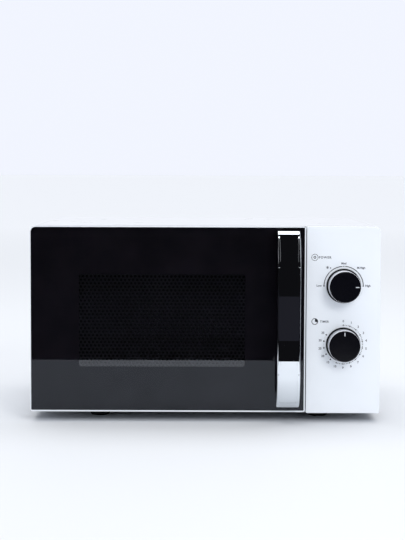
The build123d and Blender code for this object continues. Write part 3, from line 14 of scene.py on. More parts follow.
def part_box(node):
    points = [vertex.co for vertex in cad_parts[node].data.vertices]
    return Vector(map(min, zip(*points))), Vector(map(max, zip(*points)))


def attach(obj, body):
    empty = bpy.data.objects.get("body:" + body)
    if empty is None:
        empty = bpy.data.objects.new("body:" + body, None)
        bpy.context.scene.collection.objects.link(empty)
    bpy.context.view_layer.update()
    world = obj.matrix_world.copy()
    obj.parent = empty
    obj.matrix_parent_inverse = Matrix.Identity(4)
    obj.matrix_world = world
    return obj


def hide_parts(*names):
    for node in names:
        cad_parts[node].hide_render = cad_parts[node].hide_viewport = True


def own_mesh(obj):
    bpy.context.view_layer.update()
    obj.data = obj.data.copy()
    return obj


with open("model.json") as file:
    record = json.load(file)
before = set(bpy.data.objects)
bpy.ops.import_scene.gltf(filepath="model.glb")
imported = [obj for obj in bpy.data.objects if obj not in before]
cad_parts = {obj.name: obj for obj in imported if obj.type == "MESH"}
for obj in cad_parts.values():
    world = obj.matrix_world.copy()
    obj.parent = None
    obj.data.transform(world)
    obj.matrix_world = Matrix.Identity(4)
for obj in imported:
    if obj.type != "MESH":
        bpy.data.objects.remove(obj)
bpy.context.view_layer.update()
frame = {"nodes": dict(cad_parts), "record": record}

MM = 0.001
NODES = frame["nodes"]

# ---------------------------------------------------------------- places read from the frame
GLASS_LO, GLASS_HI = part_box("door_glass")
SCREEN_LO, SCREEN_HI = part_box("door_screen")
FILM_LO, FILM_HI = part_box("window_film")
POWER_LO, POWER_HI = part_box("power_knob")
TIMER_LO, TIMER_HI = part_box("timer_knob")
TRAY_LO, TRAY_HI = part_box("glass_tray")
SPRING_LO, SPRING_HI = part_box("latch_spring")
SCREWS_LO, SCREWS_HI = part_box("casing_screws")

PANE_OVER = 8 * MM  # the inner pane laps this far over the window
SILL = 5 * MM  # the print hides this much of the opening's lower edge
WINDOW = (FILM_LO.x + PANE_OVER + MM, FILM_HI.x - PANE_OVER - 0.5 * MM,
          FILM_LO.z + PANE_OVER + SILL, FILM_HI.z - PANE_OVER)
PANEL_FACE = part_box("control_panel")[0].y


def middle(low, high):
    return (low + high) / 2


# ---------------------------------------------------------------- materials
class Shader:
    """A Principled material, and short ways to add the nodes that vary it."""

    def __init__(self, name, colour, rough, metallic=0.0):
        self.mat = bpy.data.materials.new(name)
        self.mat.use_nodes = True
        self.tree = self.mat.node_tree
        self.bsdf = self.tree.nodes["Principled BSDF"]
        self.colour, self.rough, self.height = colour, rough, None
        self.put("Base Color", (*colour, 1.0))
        self.put("Roughness", rough)
        self.put("Metallic", metallic)
        self.coords = self.tree.nodes.new("ShaderNodeTexCoord")

    def put(self, socket, value):
        self.bsdf.inputs[socket].default_value = value

    def link(self, a, b):
        self.tree.links.new(a, b)

    def node(self, kind, **inputs):
        made = self.tree.nodes.new(kind)
        for socket, value in inputs.items():
            made.inputs[socket.replace("_", " ")].default_value = value
        return made

    def mapped(self, scale):
        made = self.node("ShaderNodeMapping", Scale=scale)
        self.link(self.coords.outputs["Object"], made.inputs["Vector"])
        return made.outputs["Vector"]

    def noise(self, scale, detail=3.0, stretch=(1, 1, 1)):
        made = self.node("ShaderNodeTexNoise", Scale=scale, Detail=detail)
        self.link(self.mapped(stretch), made.inputs["Vector"])
        return made.outputs["Fac"]

    def cells(self, scale):
        made = self.node("ShaderNodeTexVoronoi", Scale=scale)
        self.link(self.mapped((1, 1, 1)), made.inputs["Vector"])
        return made

    def ranged(self, fac, low, high, start=0.3, stop=0.7):
        made = self.node("ShaderNodeMapRange", From_Min=start, From_Max=stop, To_Min=low, To_Max=high)
        self.link(fac, made.inputs["Value"])
        return made.outputs["Result"]

    def ramp(self, fac, stops):
        made = self.tree.nodes.new("ShaderNodeValToRGB")
        while len(made.color_ramp.elements) < len(stops):
            made.color_ramp.elements.new(1.0)
        for element, (place, colour) in zip(made.color_ramp.elements, stops):
            element.position = place
            element.color = (*colour, 1.0)
        self.link(fac, made.inputs["Fac"])
        self.link(made.outputs["Color"], self.bsdf.inputs["Base Color"])

    def vary(self, fac, amount):
        """Colour drifts a little darker and lighter."""
        dark = tuple(c * (1 - amount) for c in self.colour)
        light = tuple(min(1.0, c * (1 + amount)) for c in self.colour)
        self.ramp(fac, ((0.3, dark), (0.7, light)))

    def roughen(self, fac, share):
        low, high = self.rough * (1 - share), min(1.0, self.rough * (1 + share))
        self.link(self.ranged(fac, low, high), self.bsdf.inputs["Roughness"])

    def bump(self, fac, depth):
        """Relief of the given depth in millimetres."""
        made = self.node("ShaderNodeBump", Distance=depth * MM, Strength=1.0)
        self.link(fac, made.inputs["Height"])
        if self.height is not None:
            self.link(self.height, made.inputs["Normal"])
        self.height = made.outputs["Normal"]
        self.link(self.height, self.bsdf.inputs["Normal"])


def moulded(name, colour, rough, grain=0.015, coat=0.0, spec=0.5):
    """Injection-moulded plastic: faint drift in colour and a fine surface grain."""
    s = Shader(name, colour, rough)
    s.put("IOR", 1.47)
    s.put("Specular IOR Level", spec)
    s.put("Coat Weight", coat)
    s.put("Coat Roughness", 0.1)
    s.vary(s.noise(14.0), 0.02)
    s.roughen(s.noise(60.0, 4.0), 0.12)
    s.bump(s.noise(900.0, 2.0), grain)
    return s.mat


def painted(name, colour, rough, peel=0.012):
    """Baked paint on sheet steel, with orange peel."""
    s = Shader(name, colour, rough)
    s.put("Coat Weight", 0.25)
    s.put("Coat Roughness", 0.1)
    s.vary(s.noise(5.0), 0.01)
    s.roughen(s.noise(40.0), 0.15)
    s.bump(s.noise(420.0, 2.0), peel)
    return s.mat


def speckled(name, colour, rough, fleck):
    """Cavity enamel with fine darker flecks."""
    s = Shader(name, colour, rough)
    s.put("Coat Weight", 0.4)
    s.put("Coat Roughness", 0.08)
    s.ramp(s.cells(700.0).outputs["Distance"], ((0.1, fleck), (0.24, colour)))
    s.roughen(s.noise(30.0), 0.2)
    s.bump(s.noise(300.0, 2.0), 0.02)
    return s.mat


def metal(name, colour, rough, stretch=(1, 1, 1), scale=250.0, depth=0.006):
    """Bare or plated metal; stretch draws its grain out along an axis."""
    s = Shader(name, colour, rough, 1.0)
    s.vary(s.noise(18.0), 0.03)
    grain = s.noise(scale, 5.0, stretch)
    s.roughen(grain, 0.35)
    s.bump(grain, depth)
    return s.mat


def galvanised(name, colour, rough):
    """Zinc coating with its spangle of crystals."""
    s = Shader(name, colour, rough, 1.0)
    tone = s.node("ShaderNodeSeparateColor")
    s.link(s.cells(110.0).outputs["Color"], tone.inputs["Color"])
    s.vary(tone.outputs["Red"], 0.05)
    s.roughen(tone.outputs["Green"], 0.3)
    s.bump(s.noise(500.0), 0.004)
    return s.mat


def clear(name, colour, rough=0.0, ior=1.5, wave=0.004):
    """Clear or tinted glass, not quite flat."""
    s = Shader(name, colour, rough)
    s.put("Transmission Weight", 1.0)
    s.put("IOR", ior)
    s.vary(s.noise(2.0), 0.01)
    s.bump(s.noise(9.0, 1.0), wave)
    return s.mat


def lined(name, colour, rough, across, share=0.25, metallic=1.0):
    """Stacked laminations or wound wire: fine lines across one axis, given in lines per metre."""
    s = Shader(name, colour, rough, metallic)
    wave = s.node("ShaderNodeTexWave", Scale=1.0, Distortion=0.3)
    s.link(s.mapped(across), wave.inputs["Vector"])
    wave.bands_direction = "DIAGONAL"
    s.vary(wave.outputs["Fac"], share)
    s.roughen(s.noise(50.0), 0.2)
    s.bump(wave.outputs["Fac"], 0.06)
    return s.mat


def tinted_glass():
    """Smoked door glass, with a half-mirror coat over the window."""
    s = Shader("door_glass", (0.22, 0.22, 0.25), 0.0)
    s.put("Transmission Weight", 1.0)
    s.put("IOR", 1.48)
    s.put("Specular Tint", (0.84, 0.91, 1.0, 1.0))
    s.put("Coat Roughness", 0.0)
    s.put("Coat IOR", 1.42)
    s.vary(s.noise(2.0), 0.01)
    place = s.node("ShaderNodeSeparateXYZ")
    s.link(s.coords.outputs["Object"], place.inputs["Vector"])
    both = s.tree.nodes.new("ShaderNodeMath")
    both.operation = "MULTIPLY"
    for i, (axis, low, high) in enumerate((("X", *WINDOW[:2]), ("Z", *WINDOW[2:]))):
        inside = s.tree.nodes.new("ShaderNodeMath")
        inside.operation = "COMPARE"
        s.link(place.outputs[axis], inside.inputs[0])
        inside.inputs[1].default_value = middle(low, high)
        inside.inputs[2].default_value = (high - low) / 2
        s.link(inside.outputs["Value"], both.inputs[i])
    s.link(both.outputs["Value"], s.bsdf.inputs["Coat Weight"])
    return s.mat


MATERIALS = {
    "cabinet_paint": painted("cabinet_paint", (0.84, 0.86, 0.90), 0.32),
    "panel_plastic": moulded("panel_plastic", (0.84, 0.88, 0.93), 0.22, grain=0.002, coat=0.3),
    "zinc_sheet": galvanised("zinc_sheet", (0.58, 0.60, 0.62), 0.38),
    "foot_rubber": moulded("foot_rubber", (0.012, 0.012, 0.013), 0.75, grain=0.04),
    "black_plastic": moulded("black_plastic", (0.012, 0.012, 0.013), 0.42, grain=0.03),
    "knob_plastic": moulded("knob_plastic", (0.003, 0.003, 0.005), 0.15, grain=0.001, spec=0.3),
    "screw_steel": metal("screw_steel", (0.62, 0.62, 0.63), 0.30),
    "cavity_enamel": speckled("cavity_enamel", (0.13, 0.135, 0.14), 0.35, (0.08, 0.085, 0.09)),
    "mica": moulded("mica", (0.46, 0.40, 0.30), 0.6, grain=0.05),
    "clear_glass": clear("clear_glass", (0.96, 0.96, 0.94)),
    "ceramic": moulded("ceramic", (0.78, 0.75, 0.68), 0.35),
    "screen_paint": moulded("screen_paint", (0.42, 0.42, 0.44), 0.6, grain=0.02),
    "door_glass": tinted_glass(),
    "clear_film": clear("clear_film", (0.92, 0.93, 0.93), rough=0.02, ior=1.4),
    "chrome": metal("chrome", (0.84, 0.88, 0.92), 0.008, scale=40.0, depth=0.0001),
    "latch_plastic": moulded("latch_plastic", (0.72, 0.71, 0.66), 0.45),
    "spring_steel": metal("spring_steel", (0.55, 0.55, 0.56), 0.25),
    "hinge_steel": metal("hinge_steel", (0.60, 0.60, 0.61), 0.33),
    "timer_plastic": moulded("timer_plastic", (0.76, 0.75, 0.70), 0.5),
    "aluminium": metal("aluminium", (0.78, 0.79, 0.80), 0.28, stretch=(1, 12, 1)),
    "core_steel": lined("core_steel", (0.10, 0.10, 0.11), 0.45, (0, 900, 0), metallic=0.7),
    "copper": lined("copper", (0.55, 0.20, 0.09), 0.35, (0, 0, 1400), metallic=0.8),
    "fan_plastic": moulded("fan_plastic", (0.50, 0.52, 0.54), 0.5),
    "circuit_board": moulded("circuit_board", (0.03, 0.16, 0.07), 0.3, coat=0.5),
    "roller_plastic": moulded("roller_plastic", (0.80, 0.80, 0.76), 0.45),
    "tray_glass": clear("tray_glass", (0.93, 0.98, 0.97)),
    "button_plastic": moulded("button_plastic", (0.50, 0.04, 0.03), 0.4),
}

for part in frame["record"]["subparts"]:
    NODES[part["node"]].material_slots[0].material = MATERIALS[part["material_slot"]]


def fired_print(name):
    """Black print on the back of the glass, which the glass itself makes glossy."""
    s = Shader(name, (0.08, 0.07, 0.09), 0.9)
    s.put("Specular IOR Level", 0.0)
    s.vary(s.noise(20.0), 0.2)
    s.roughen(s.noise(200.0), 0.05)
    return s.mat


PRINT_GREY = moulded("print_grey", (0.045, 0.05, 0.07), 0.5, grain=0.002)
PRINT_BLACK = moulded("print_black", (0.008, 0.008, 0.014), 0.4, grain=0.002)
GLASS_PRINT = fired_print("glass_print")
POINTER_SILVER = moulded("pointer_silver", (0.62, 0.64, 0.68), 0.35, grain=0.002)
SLEEVE_SATIN = moulded("sleeve_satin", (0.80, 0.82, 0.88), 0.3, grain=0.002)
# Dark metal that paints the shade inside the screws' cross recesses.
RECESS_PAINTED_SHADE = metal("recess_painted_shade", (0.10, 0.10, 0.10), 0.6)


# ---------------------------------------------------------------- building pieces
def finish_mesh(name, bm, smooth=False):
    """Turns the faces outwards and makes the mesh."""
    bmesh.ops.recalc_face_normals(bm, faces=bm.faces)
    for face in bm.faces:
        face.smooth = smooth
    mesh = bpy.data.meshes.new(name)
    bm.to_mesh(mesh)
    bm.free()
    return mesh


def add_piece(name, mesh, body, slot, material=None, replaces=()):
    """Shows a mesh as a piece of the object that rides on a body."""
    piece = bpy.data.objects.new(name, mesh)
    bpy.context.scene.collection.objects.link(piece)
    mesh.materials.clear()
    mesh.materials.append(material or MATERIALS[slot])
    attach(piece, body)
    if replaces:
        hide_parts(*replaces)
    return piece


def round_rect(sides, radii, steps=8):
    """Points (x, z) round a rectangle; radii at lower left, lower right, upper right, upper left."""
    x0, x1, z0, z1 = sides
    corners = ((x0, z0, 1, 1, 180), (x1, z0, -1, 1, 270), (x1, z1, -1, -1, 0), (x0, z1, 1, -1, 90))
    points = []
    for (x, z, sx, sz, start), r in zip(corners, radii):
        for i in range(steps + 1):
            a = math.radians(start + 90 * i / steps)
            points.append((x + sx * r + r * math.cos(a), z + sz * r + r * math.sin(a)))
    return points


def grown(sides, by):
    return sides[0] - by, sides[1] + by, sides[2] - by, sides[3] + by


def loop_at(bm, points, y):
    return [bm.verts.new((x, y, z)) for x, z in points]


def bridge(bm, a, b):
    for i in range(len(a)):
        j = (i + 1) % len(a)
        bm.faces.new((a[i], a[j], b[j], b[i]))


def bridge_all(bm, loops, closed=False):
    for a, b in zip(loops, loops[1:] + loops[:1] if closed else loops[1:]):
        bridge(bm, a, b)


def tube(bm, loops):
    """Walls between the loops, and a face over each end."""
    bridge_all(bm, loops)
    bm.faces.new(loops[0])
    bm.faces.new(loops[-1])


def circle(steps):
    """Angles of equal steps round a full turn."""
    return [2 * math.pi * k / steps for k in range(steps)]


# ---------------------------------------------------------------- door glass
def door_glass():
    """Glass with ground edges, and the black print at its back, open at the window."""
    sides = (GLASS_LO.x, GLASS_HI.x, GLASS_LO.z, GLASS_HI.z)
    sharp, rounded = 1 * MM, 6.3 * MM
    radii = (sharp, sharp, sharp, rounded)
    bevel = 0.3 * MM
    small = tuple(r - bevel for r in radii)
    bm = bmesh.new()
    loops = [
        loop_at(bm, round_rect(grown(sides, -bevel), small), GLASS_LO.y),
        loop_at(bm, round_rect(sides, radii), GLASS_LO.y + bevel),
        loop_at(bm, round_rect(sides, radii), GLASS_HI.y - bevel),
        loop_at(bm, round_rect(grown(sides, -bevel), small), GLASS_HI.y),
    ]
    tube(bm, loops)
    add_piece("door_glass_pane", finish_mesh("door_glass_pane", bm), "door", "door_glass",
              replaces=("door_glass",))

    bm = bmesh.new()
    outer = round_rect(grown(sides, -0.35 * MM), small)
    inner = round_rect(WINDOW, (4 * MM,) * 4)
    front, back = GLASS_HI.y - 0.30 * MM, GLASS_HI.y - 0.15 * MM
    loops = [loop_at(bm, outer, front), loop_at(bm, inner, front), loop_at(bm, inner, back),
             loop_at(bm, outer, back)]
    bridge_all(bm, loops, closed=True)
    add_piece("door_glass_print", finish_mesh("door_glass_print", bm), "door", "door_glass", GLASS_PRINT)


door_glass()


# ---------------------------------------------------------------- perforated screen
HOLE_PITCH, HOLE_R = 5.2 * MM, 1.7 * MM
ROW_PITCH = HOLE_PITCH * math.sqrt(3) / 2
SCREEN_SHEET = 0.6 * MM
CELL = ((1, 0), (1, 1), (0, 1), (-1, 1), (-1, 0), (-1, -1), (0, -1), (1, -1))


def perforated_field(bm, sides, y):
    """Staggered round holes in cells that join into one sheet."""
    columns = math.ceil((sides[1] - sides[0]) / HOLE_PITCH) + 1
    rows = math.ceil((sides[3] - sides[2]) / ROW_PITCH)
    x0 = middle(sides[0], sides[1]) - (columns + 0.5) * HOLE_PITCH / 2
    z0 = middle(sides[2], sides[3]) - rows * ROW_PITCH / 2
    for j in range(rows):
        for i in range(columns):
            cx = x0 + (i + 0.5 + 0.5 * (j % 2)) * HOLE_PITCH
            cz = z0 + (j + 0.5) * ROW_PITCH
            cell = [(cx + a * HOLE_PITCH / 2, cz + b * ROW_PITCH / 2) for a, b in CELL]
            hole = [(cx + HOLE_R * math.cos(t), cz + HOLE_R * math.sin(t)) for t in circle(len(cell))]
            bridge(bm, loop_at(bm, cell, y), loop_at(bm, hole, y))
    bmesh.ops.remove_doubles(bm, verts=bm.verts, dist=0.01 * MM)


def door_screen():
    """Steel pan: the perforated sheet, and the plain border and walls round it."""
    bm = bmesh.new()
    perforated_field(bm, grown(WINDOW, 2 * MM), SCREEN_LO.y)
    holes = add_piece("door_screen_mesh", finish_mesh("door_screen_mesh", bm), "door", "screen_paint")
    sheet = holes.modifiers.new("sheet", "SOLIDIFY")
    sheet.thickness = SCREEN_SHEET
    sheet.offset = -1.0 if holes.data.polygons[0].normal.y < 0 else 1.0

    bm = bmesh.new()
    opening = round_rect(grown(WINDOW, 0.5 * MM), (3 * MM,) * 4)
    outer = (SCREEN_LO.x, SCREEN_HI.x, SCREEN_LO.z, SCREEN_HI.z)
    front = SCREEN_LO.y + SCREEN_SHEET
    loops = [
        loop_at(bm, opening, front),
        loop_at(bm, round_rect(grown(outer, -1.5 * MM), (4 * MM,) * 4), front),
        loop_at(bm, round_rect(outer, (5 * MM,) * 4), front + 1.5 * MM),
        loop_at(bm, round_rect(outer, (5 * MM,) * 4), SCREEN_HI.y),
        loop_at(bm, round_rect(grown(outer, -SCREEN_SHEET), (4.4 * MM,) * 4), SCREEN_HI.y),
        loop_at(bm, round_rect(grown(outer, -SCREEN_SHEET), (4.4 * MM,) * 4), front + 1.5 * MM),
        loop_at(bm, round_rect(grown(outer, -2.1 * MM), (3.4 * MM,) * 4), front + 0.4 * MM),
        loop_at(bm, opening, front + 0.4 * MM),
    ]
    bridge_all(bm, loops, closed=True)
    add_piece("door_screen_pan", finish_mesh("door_screen_pan", bm), "door", "screen_paint",
              replaces=("door_screen",))


door_screen()


# ---------------------------------------------------------------- printed scales
INK = 0.05 * MM  # thickness of the print
BOLD = 0.10 * MM  # how far the letters' strokes are thickened
ARC_R, DOTS_R, NUMBERS_R = 25.3, 25.2, 30.2  # millimetres from a dial's axis
SMALL, TITLE = 2.7, 3.0  # heights of the capitals, in millimetres
POWER_X, POWER_Z = middle(POWER_LO.x, POWER_HI.x), middle(POWER_LO.z, POWER_HI.z)
TIMER_X, TIMER_Z = middle(TIMER_LO.x, TIMER_HI.x), middle(TIMER_LO.z, TIMER_HI.z)


def prism(bm, points):
    """A thin printed shape on the panel's face, given as (x, z) points in metres."""
    low, high = loop_at(bm, points, PANEL_FACE), loop_at(bm, points, PANEL_FACE - INK)
    bridge(bm, low, high)
    bm.faces.new(low)
    bm.faces.new(high)


def clock_point(x, z, r, degrees):
    """Point at a clock direction: 0 is up and 90 is to the right."""
    a = math.radians(degrees)
    return x + r * MM * math.sin(a), z + r * MM * math.cos(a)


def dot(bm, x, z, r, sides=16):
    prism(bm, [clock_point(x, z, r, 360 * i / sides) for i in range(sides)])


def arc(bm, x, z, r, width, start, stop, step=4.0):
    """Printed line along a circle from one clock direction to another."""
    count = max(1, round((stop - start) / step))
    turns = [start + (stop - start) * i / count for i in range(count + 1)]
    for a, b in zip(turns, turns[1:]):
        prism(bm, [clock_point(x, z, r - width / 2, a), clock_point(x, z, r + width / 2, a),
                   clock_point(x, z, r + width / 2, b), clock_point(x, z, r - width / 2, b)])


def tick(bm, x, z, r0, r1, width, degrees):
    """Radial printed line."""
    half = [math.degrees(width / 2 / r) for r in (r0, r1)]
    prism(bm, [clock_point(x, z, r0, degrees - half[0]), clock_point(x, z, r1, degrees - half[1]),
               clock_point(x, z, r1, degrees + half[1]), clock_point(x, z, r0, degrees + half[0])])


def label(bm, words, x, z, height, spread=1.0):
    """Lettering centred on (x, z), with capitals of the given height in millimetres."""
    curve = bpy.data.curves.new("lettering", "FONT")
    curve.body = words
    curve.size = height * MM / 0.72
    curve.space_character = spread
    curve.offset = BOLD
    curve.align_x, curve.align_y = "CENTER", "CENTER"
    curve.resolution_u = 2
    curve.extrude = INK / 2
    holder = bpy.data.objects.new("lettering", curve)
    bpy.context.scene.collection.objects.link(holder)
    bpy.context.view_layer.update()
    mesh = bpy.data.meshes.new_from_object(holder.evaluated_get(bpy.context.evaluated_depsgraph_get()))
    mesh.transform(Matrix.Translation((x, PANEL_FACE - INK / 2, z)) @ Matrix.Rotation(math.pi / 2, 4, "X"))
    bm.from_mesh(mesh)
    bpy.data.objects.remove(holder)
    bpy.data.curves.remove(curve)
    bpy.data.meshes.remove(mesh)


def printed(name, draw, material):
    bm = bmesh.new()
    draw(bm)
    add_piece(name, finish_mesh(name, bm), "casing", "panel_plastic", material)


def power_scale(bm):
    x, z = POWER_X, POWER_Z
    for start, stop in ((-88, -47), (-43, -4), (4, 43), (47, 88)):
        arc(bm, x, z, ARC_R, 1.0, start, stop)
    for turn, r in ((-90, 0.95), (-45, 0.6), (0, 0.8), (45, 0.6), (90, 0.95)):
        dot(bm, *clock_point(x, z, ARC_R, turn), r)


def power_words(bm):
    x, z = POWER_X, POWER_Z
    label(bm, "Low", x - 31.8 * MM, z + 0.2 * MM, SMALL)
    label(bm, "Med", x, z + 29.0 * MM, SMALL)
    label(bm, "M.High", x + 22.3 * MM, z + 23.4 * MM, SMALL)
    label(bm, "High", x + 31.2 * MM, z + 0.2 * MM, SMALL)
    label(bm, "POWER", x - 24.3 * MM, z + 36.6 * MM, TITLE, 1.2)
    frost_x, frost_z = x - 21.0 * MM, z + 23.8 * MM
    for turn in range(0, 360, 60):
        tick(bm, frost_x, frost_z, 0.3, 1.9, 0.7, turn)
    dot(bm, frost_x + 3.9 * MM, frost_z - 0.6 * MM, 0.8)


def sun_icon(bm):
    x, z = POWER_X - 37.4 * MM, POWER_Z + 36.8 * MM
    arc(bm, x, z, 1.3, 0.9, 0, 360, 15)
    for turn in range(0, 360, 30):
        arc(bm, x, z, 4.1, 0.8, turn - 11, turn + 11, 11)


def timer_scale(bm):
    x, z = TIMER_X, TIMER_Z
    for minute in range(11):
        dot(bm, *clock_point(x, z, DOTS_R, 20 * minute), 0.85)
    for quarter in range(40):
        if quarter % 4:
            tick(bm, x, z, DOTS_R - 0.5, DOTS_R + 0.5, 0.8, 5 * quarter)
    for step in range(1, 6):
        dot(bm, *clock_point(x, z, DOTS_R, 200 + 20 * step), 1.0)
        for small in (-14, -10, -6):
            dot(bm, *clock_point(x, z, DOTS_R, 200 + 20 * step + small), 0.25, 8)


def timer_words(bm):
    x, z = TIMER_X, TIMER_Z
    numbers = [*range(11), 15, 20, 25, 30, 35]
    for place, number in enumerate(numbers):
        label(bm, str(number), *clock_point(x, z, NUMBERS_R, 20 * place), 2.9)
    label(bm, "TIMER", x - 24.4 * MM, z + 29.6 * MM, SMALL, 1.15)


def clock_icon(bm):
    x, z = TIMER_X - 36.8 * MM, TIMER_Z + 29.8 * MM
    arc(bm, x, z, 3.85, 0.8, 0, 360, 12)
    arc(bm, x, z, 1.9, 3.2, 5, 110, 10)


printed("power_scale_print", power_scale, PRINT_BLACK)
printed("power_words_print", power_words, PRINT_GREY)
printed("power_icon_print", sun_icon, PRINT_BLACK)
printed("timer_scale_print", timer_scale, PRINT_BLACK)
printed("timer_words_print", timer_words, PRINT_GREY)
printed("timer_icon_print", clock_icon, PRINT_BLACK)


# ---------------------------------------------------------------- dial pointers
def pointer(name, body, slot, low, high, clock):
    """Rounded light inlay in the groove of a dial."""
    x, z = middle(low.x, high.x), middle(low.z, high.z)
    half, start, stop = 0.58 * MM, 13.3 * MM, 19.1 * MM
    mid = middle(start, stop)
    outline = round_rect((-half, half, start, stop), (half * 0.98,) * 4, 4)
    turn = math.radians(clock)
    bm = bmesh.new()
    face, shoulder, back = low.y + 0.06 * MM, low.y + 0.16 * MM, low.y + 0.38 * MM
    loops = []
    for y, share in ((back, 1.0), (shoulder, 1.0), (face, 0.8)):
        points = []
        for px, pz in outline:
            px, pz = px * share, mid + (pz - mid) * (0.8 + 0.2 * share)
            points.append((x + px * math.cos(turn) + pz * math.sin(turn),
                           z - px * math.sin(turn) + pz * math.cos(turn)))
        loops.append(loop_at(bm, points, y))
    tube(bm, loops)
    add_piece(name, finish_mesh(name, bm), body, slot, POINTER_SILVER)


pointer("power_pointer", "power_dial", "knob_plastic", POWER_LO, POWER_HI, 90)
pointer("timer_pointer", "timer_dial", "knob_plastic", TIMER_LO, TIMER_HI, 0)


def sleeve(name, body, node, low, high):
    """Light satin band round the wall of a dial, from its flange to the edge of its face."""
    x, z = middle(low.x, high.x), middle(low.z, high.z)
    front, back = low.y + 1.2 * MM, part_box(node)[1].y
    profile = ((19.9, back), (20.3, back), (20.3, front + 0.3 * MM), (20.1, front), (19.9, front))
    bm = bmesh.new()
    steps = 72
    rings = [loop_at(bm, [clock_point(x, z, r, 360 * k / steps) for k in range(steps)], y)
             for r, y in profile]
    bridge_all(bm, rings, closed=True)
    add_piece(name, finish_mesh(name, bm, True), body, "chrome", SLEEVE_SATIN, replaces=(node,))


sleeve("power_knob_sleeve", "power_dial", "power_knob_ring", POWER_LO, POWER_HI)
sleeve("timer_knob_sleeve", "timer_dial", "timer_knob_ring", TIMER_LO, TIMER_HI)


# ---------------------------------------------------------------- ribs on the handle's curved ends
HANDLE_LO, HANDLE_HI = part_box("door_handle")
SHOULDER, BOW_R = 47 * MM, 63.1 * MM  # length and radius of each curved end
RIB_HALF, RIB_H, RIB_IN = 1.4 * MM, 0.5 * MM, 2.1 * MM


def handle_ribs():
    """A rounded rib along each rail, rising out of the curved ends of the bow."""
    bm = bmesh.new()
    around = [math.pi * k / 12 for k in range(13)]
    for x in (HANDLE_LO.x + RIB_IN, HANDLE_HI.x - RIB_IN):
        for end in (-1, 1):
            shoulder = HANDLE_HI.z - SHOULDER if end > 0 else HANDLE_LO.z + SHOULDER
            rings = []
            for k in range(33):
                turn = math.radians(1 + 39 * k / 32)
                fade = min(1.0, (k / 32) * 4, (1 - k / 32) * 10)
                rise = RIB_H * fade * fade * (3 - 2 * fade)
                ring = []
                for a in around:
                    r = BOW_R - 0.3 * MM + (rise + 0.28 * MM) * math.sin(a)
                    ring.append(bm.verts.new((
                        x + RIB_HALF * math.cos(a),
                        HANDLE_LO.y + BOW_R - r * math.cos(turn),
                        shoulder + end * r * math.sin(turn),
                    )))
                rings.append(ring)
            tube(bm, rings)
    add_piece("door_handle_ribs", finish_mesh("door_handle_ribs", bm, True), "door", "chrome")


handle_ribs()


# ---------------------------------------------------------------- small details
def tube_along(bm, points, r, sides=8):
    """A round wire through the points."""
    rings = []
    for i, here in enumerate(points):
        ahead = (points[min(i + 1, len(points) - 1)] - points[max(i - 1, 0)]).normalized()
        side = ahead.cross(Vector((0, 0, 1))).normalized()
        lift = side.cross(ahead)
        rings.append([bm.verts.new(here + r * (math.cos(t) * side + math.sin(t) * lift))
                      for t in circle(sides)])
    tube(bm, rings)


def latch_spring():
    """Coil spring between the latch and its seat, drawn at one length; the real one shortens as the latch
    lifts.
    """
    wire, turns, steps = 0.4 * MM, 9, 20
    radius = (SPRING_HI.x - SPRING_LO.x) / 2 - wire
    x, y = middle(SPRING_LO.x, SPRING_HI.x), middle(SPRING_LO.y, SPRING_HI.y)
    low, high = SPRING_LO.z + wire, SPRING_HI.z - wire
    closed = 2 * wire  # rise of each end turn, which lies against the next
    pitch = (high - low - 2 * closed) / (turns - 2)
    points = []
    for i in range(turns * steps + 1):
        turn = i / steps
        between = min(max(turn - 1, 0), turns - 2)
        height = low + closed * (turn - between) + pitch * between
        a = 2 * math.pi * turn
        points.append(Vector((x + radius * math.cos(a), y + radius * math.sin(a), height)))
    bm = bmesh.new()
    tube_along(bm, points, wire)
    coil = add_piece("latch_spring_coil", finish_mesh("latch_spring_coil", bm, True), "door", "spring_steel",
                     replaces=("latch_spring",))
    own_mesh(coil)


latch_spring()


def tray_ribs():
    """Moulded rings on the tray's floor."""
    x, y = middle(TRAY_LO.x, TRAY_HI.x), middle(TRAY_LO.y, TRAY_HI.y)
    top = TRAY_LO.z + 4 * MM
    bm = bmesh.new()
    for r in (30 * MM, 55 * MM, 80 * MM):
        profile = ((r - 0.9 * MM, 0.02), (r - 0.5 * MM, 0.35), (r + 0.5 * MM, 0.35), (r + 0.9 * MM, 0.02))
        rings = [[bm.verts.new((x + pr * math.cos(t), y + pr * math.sin(t), top + ph * MM))
                  for t in circle(96)] for pr, ph in profile]
        bridge_all(bm, rings, closed=True)
    add_piece("glass_tray_ribs", finish_mesh("glass_tray_ribs", bm, True), "tray", "tray_glass")


tray_ribs()


def screw_recesses():
    """Cross recesses in the heads of the screws at the rear: flat crosses of dark metal on the heads, painted
    shade that stands in for their depth.
    """
    head = 3.6 * MM
    side, low = SCREWS_HI.x - head, SCREWS_LO.z + head
    top = SCREWS_HI.z - head
    places = ((-side, low), (side, low), (-side * 0.6, top), (side * 0.6, top))
    long, half = 1.7 * MM, 0.35 * MM
    cross = [(half, half), (half, long), (-half, long), (-half, half), (-long, half), (-long, -half),
             (-half, -half), (-half, -long), (half, -long), (half, -half), (long, -half), (long, half)]
    bm = bmesh.new()
    for x, z in places:
        points = [(x + px, z + pz) for px, pz in cross]
        near = loop_at(bm, points, SCREWS_HI.y - 0.1 * MM)
        far = loop_at(bm, points, SCREWS_HI.y + 0.02 * MM)
        bridge(bm, near, far)
        bm.faces.new(near)
        bm.faces.new(far)
    add_piece("casing_screw_recesses", finish_mesh("casing_screw_recesses", bm), "casing", "screw_steel",
              RECESS_PAINTED_SHADE)


screw_recesses()


# ---------------------------------------------------------------- studio
def glowing(name, colour):
    s = Shader(name, (0, 0, 0), 1.0)
    s.put("Specular IOR Level", 0.0)
    s.put("Emission Color", (*colour, 1.0))
    s.put("Emission Strength", 1.0)
    return s.mat


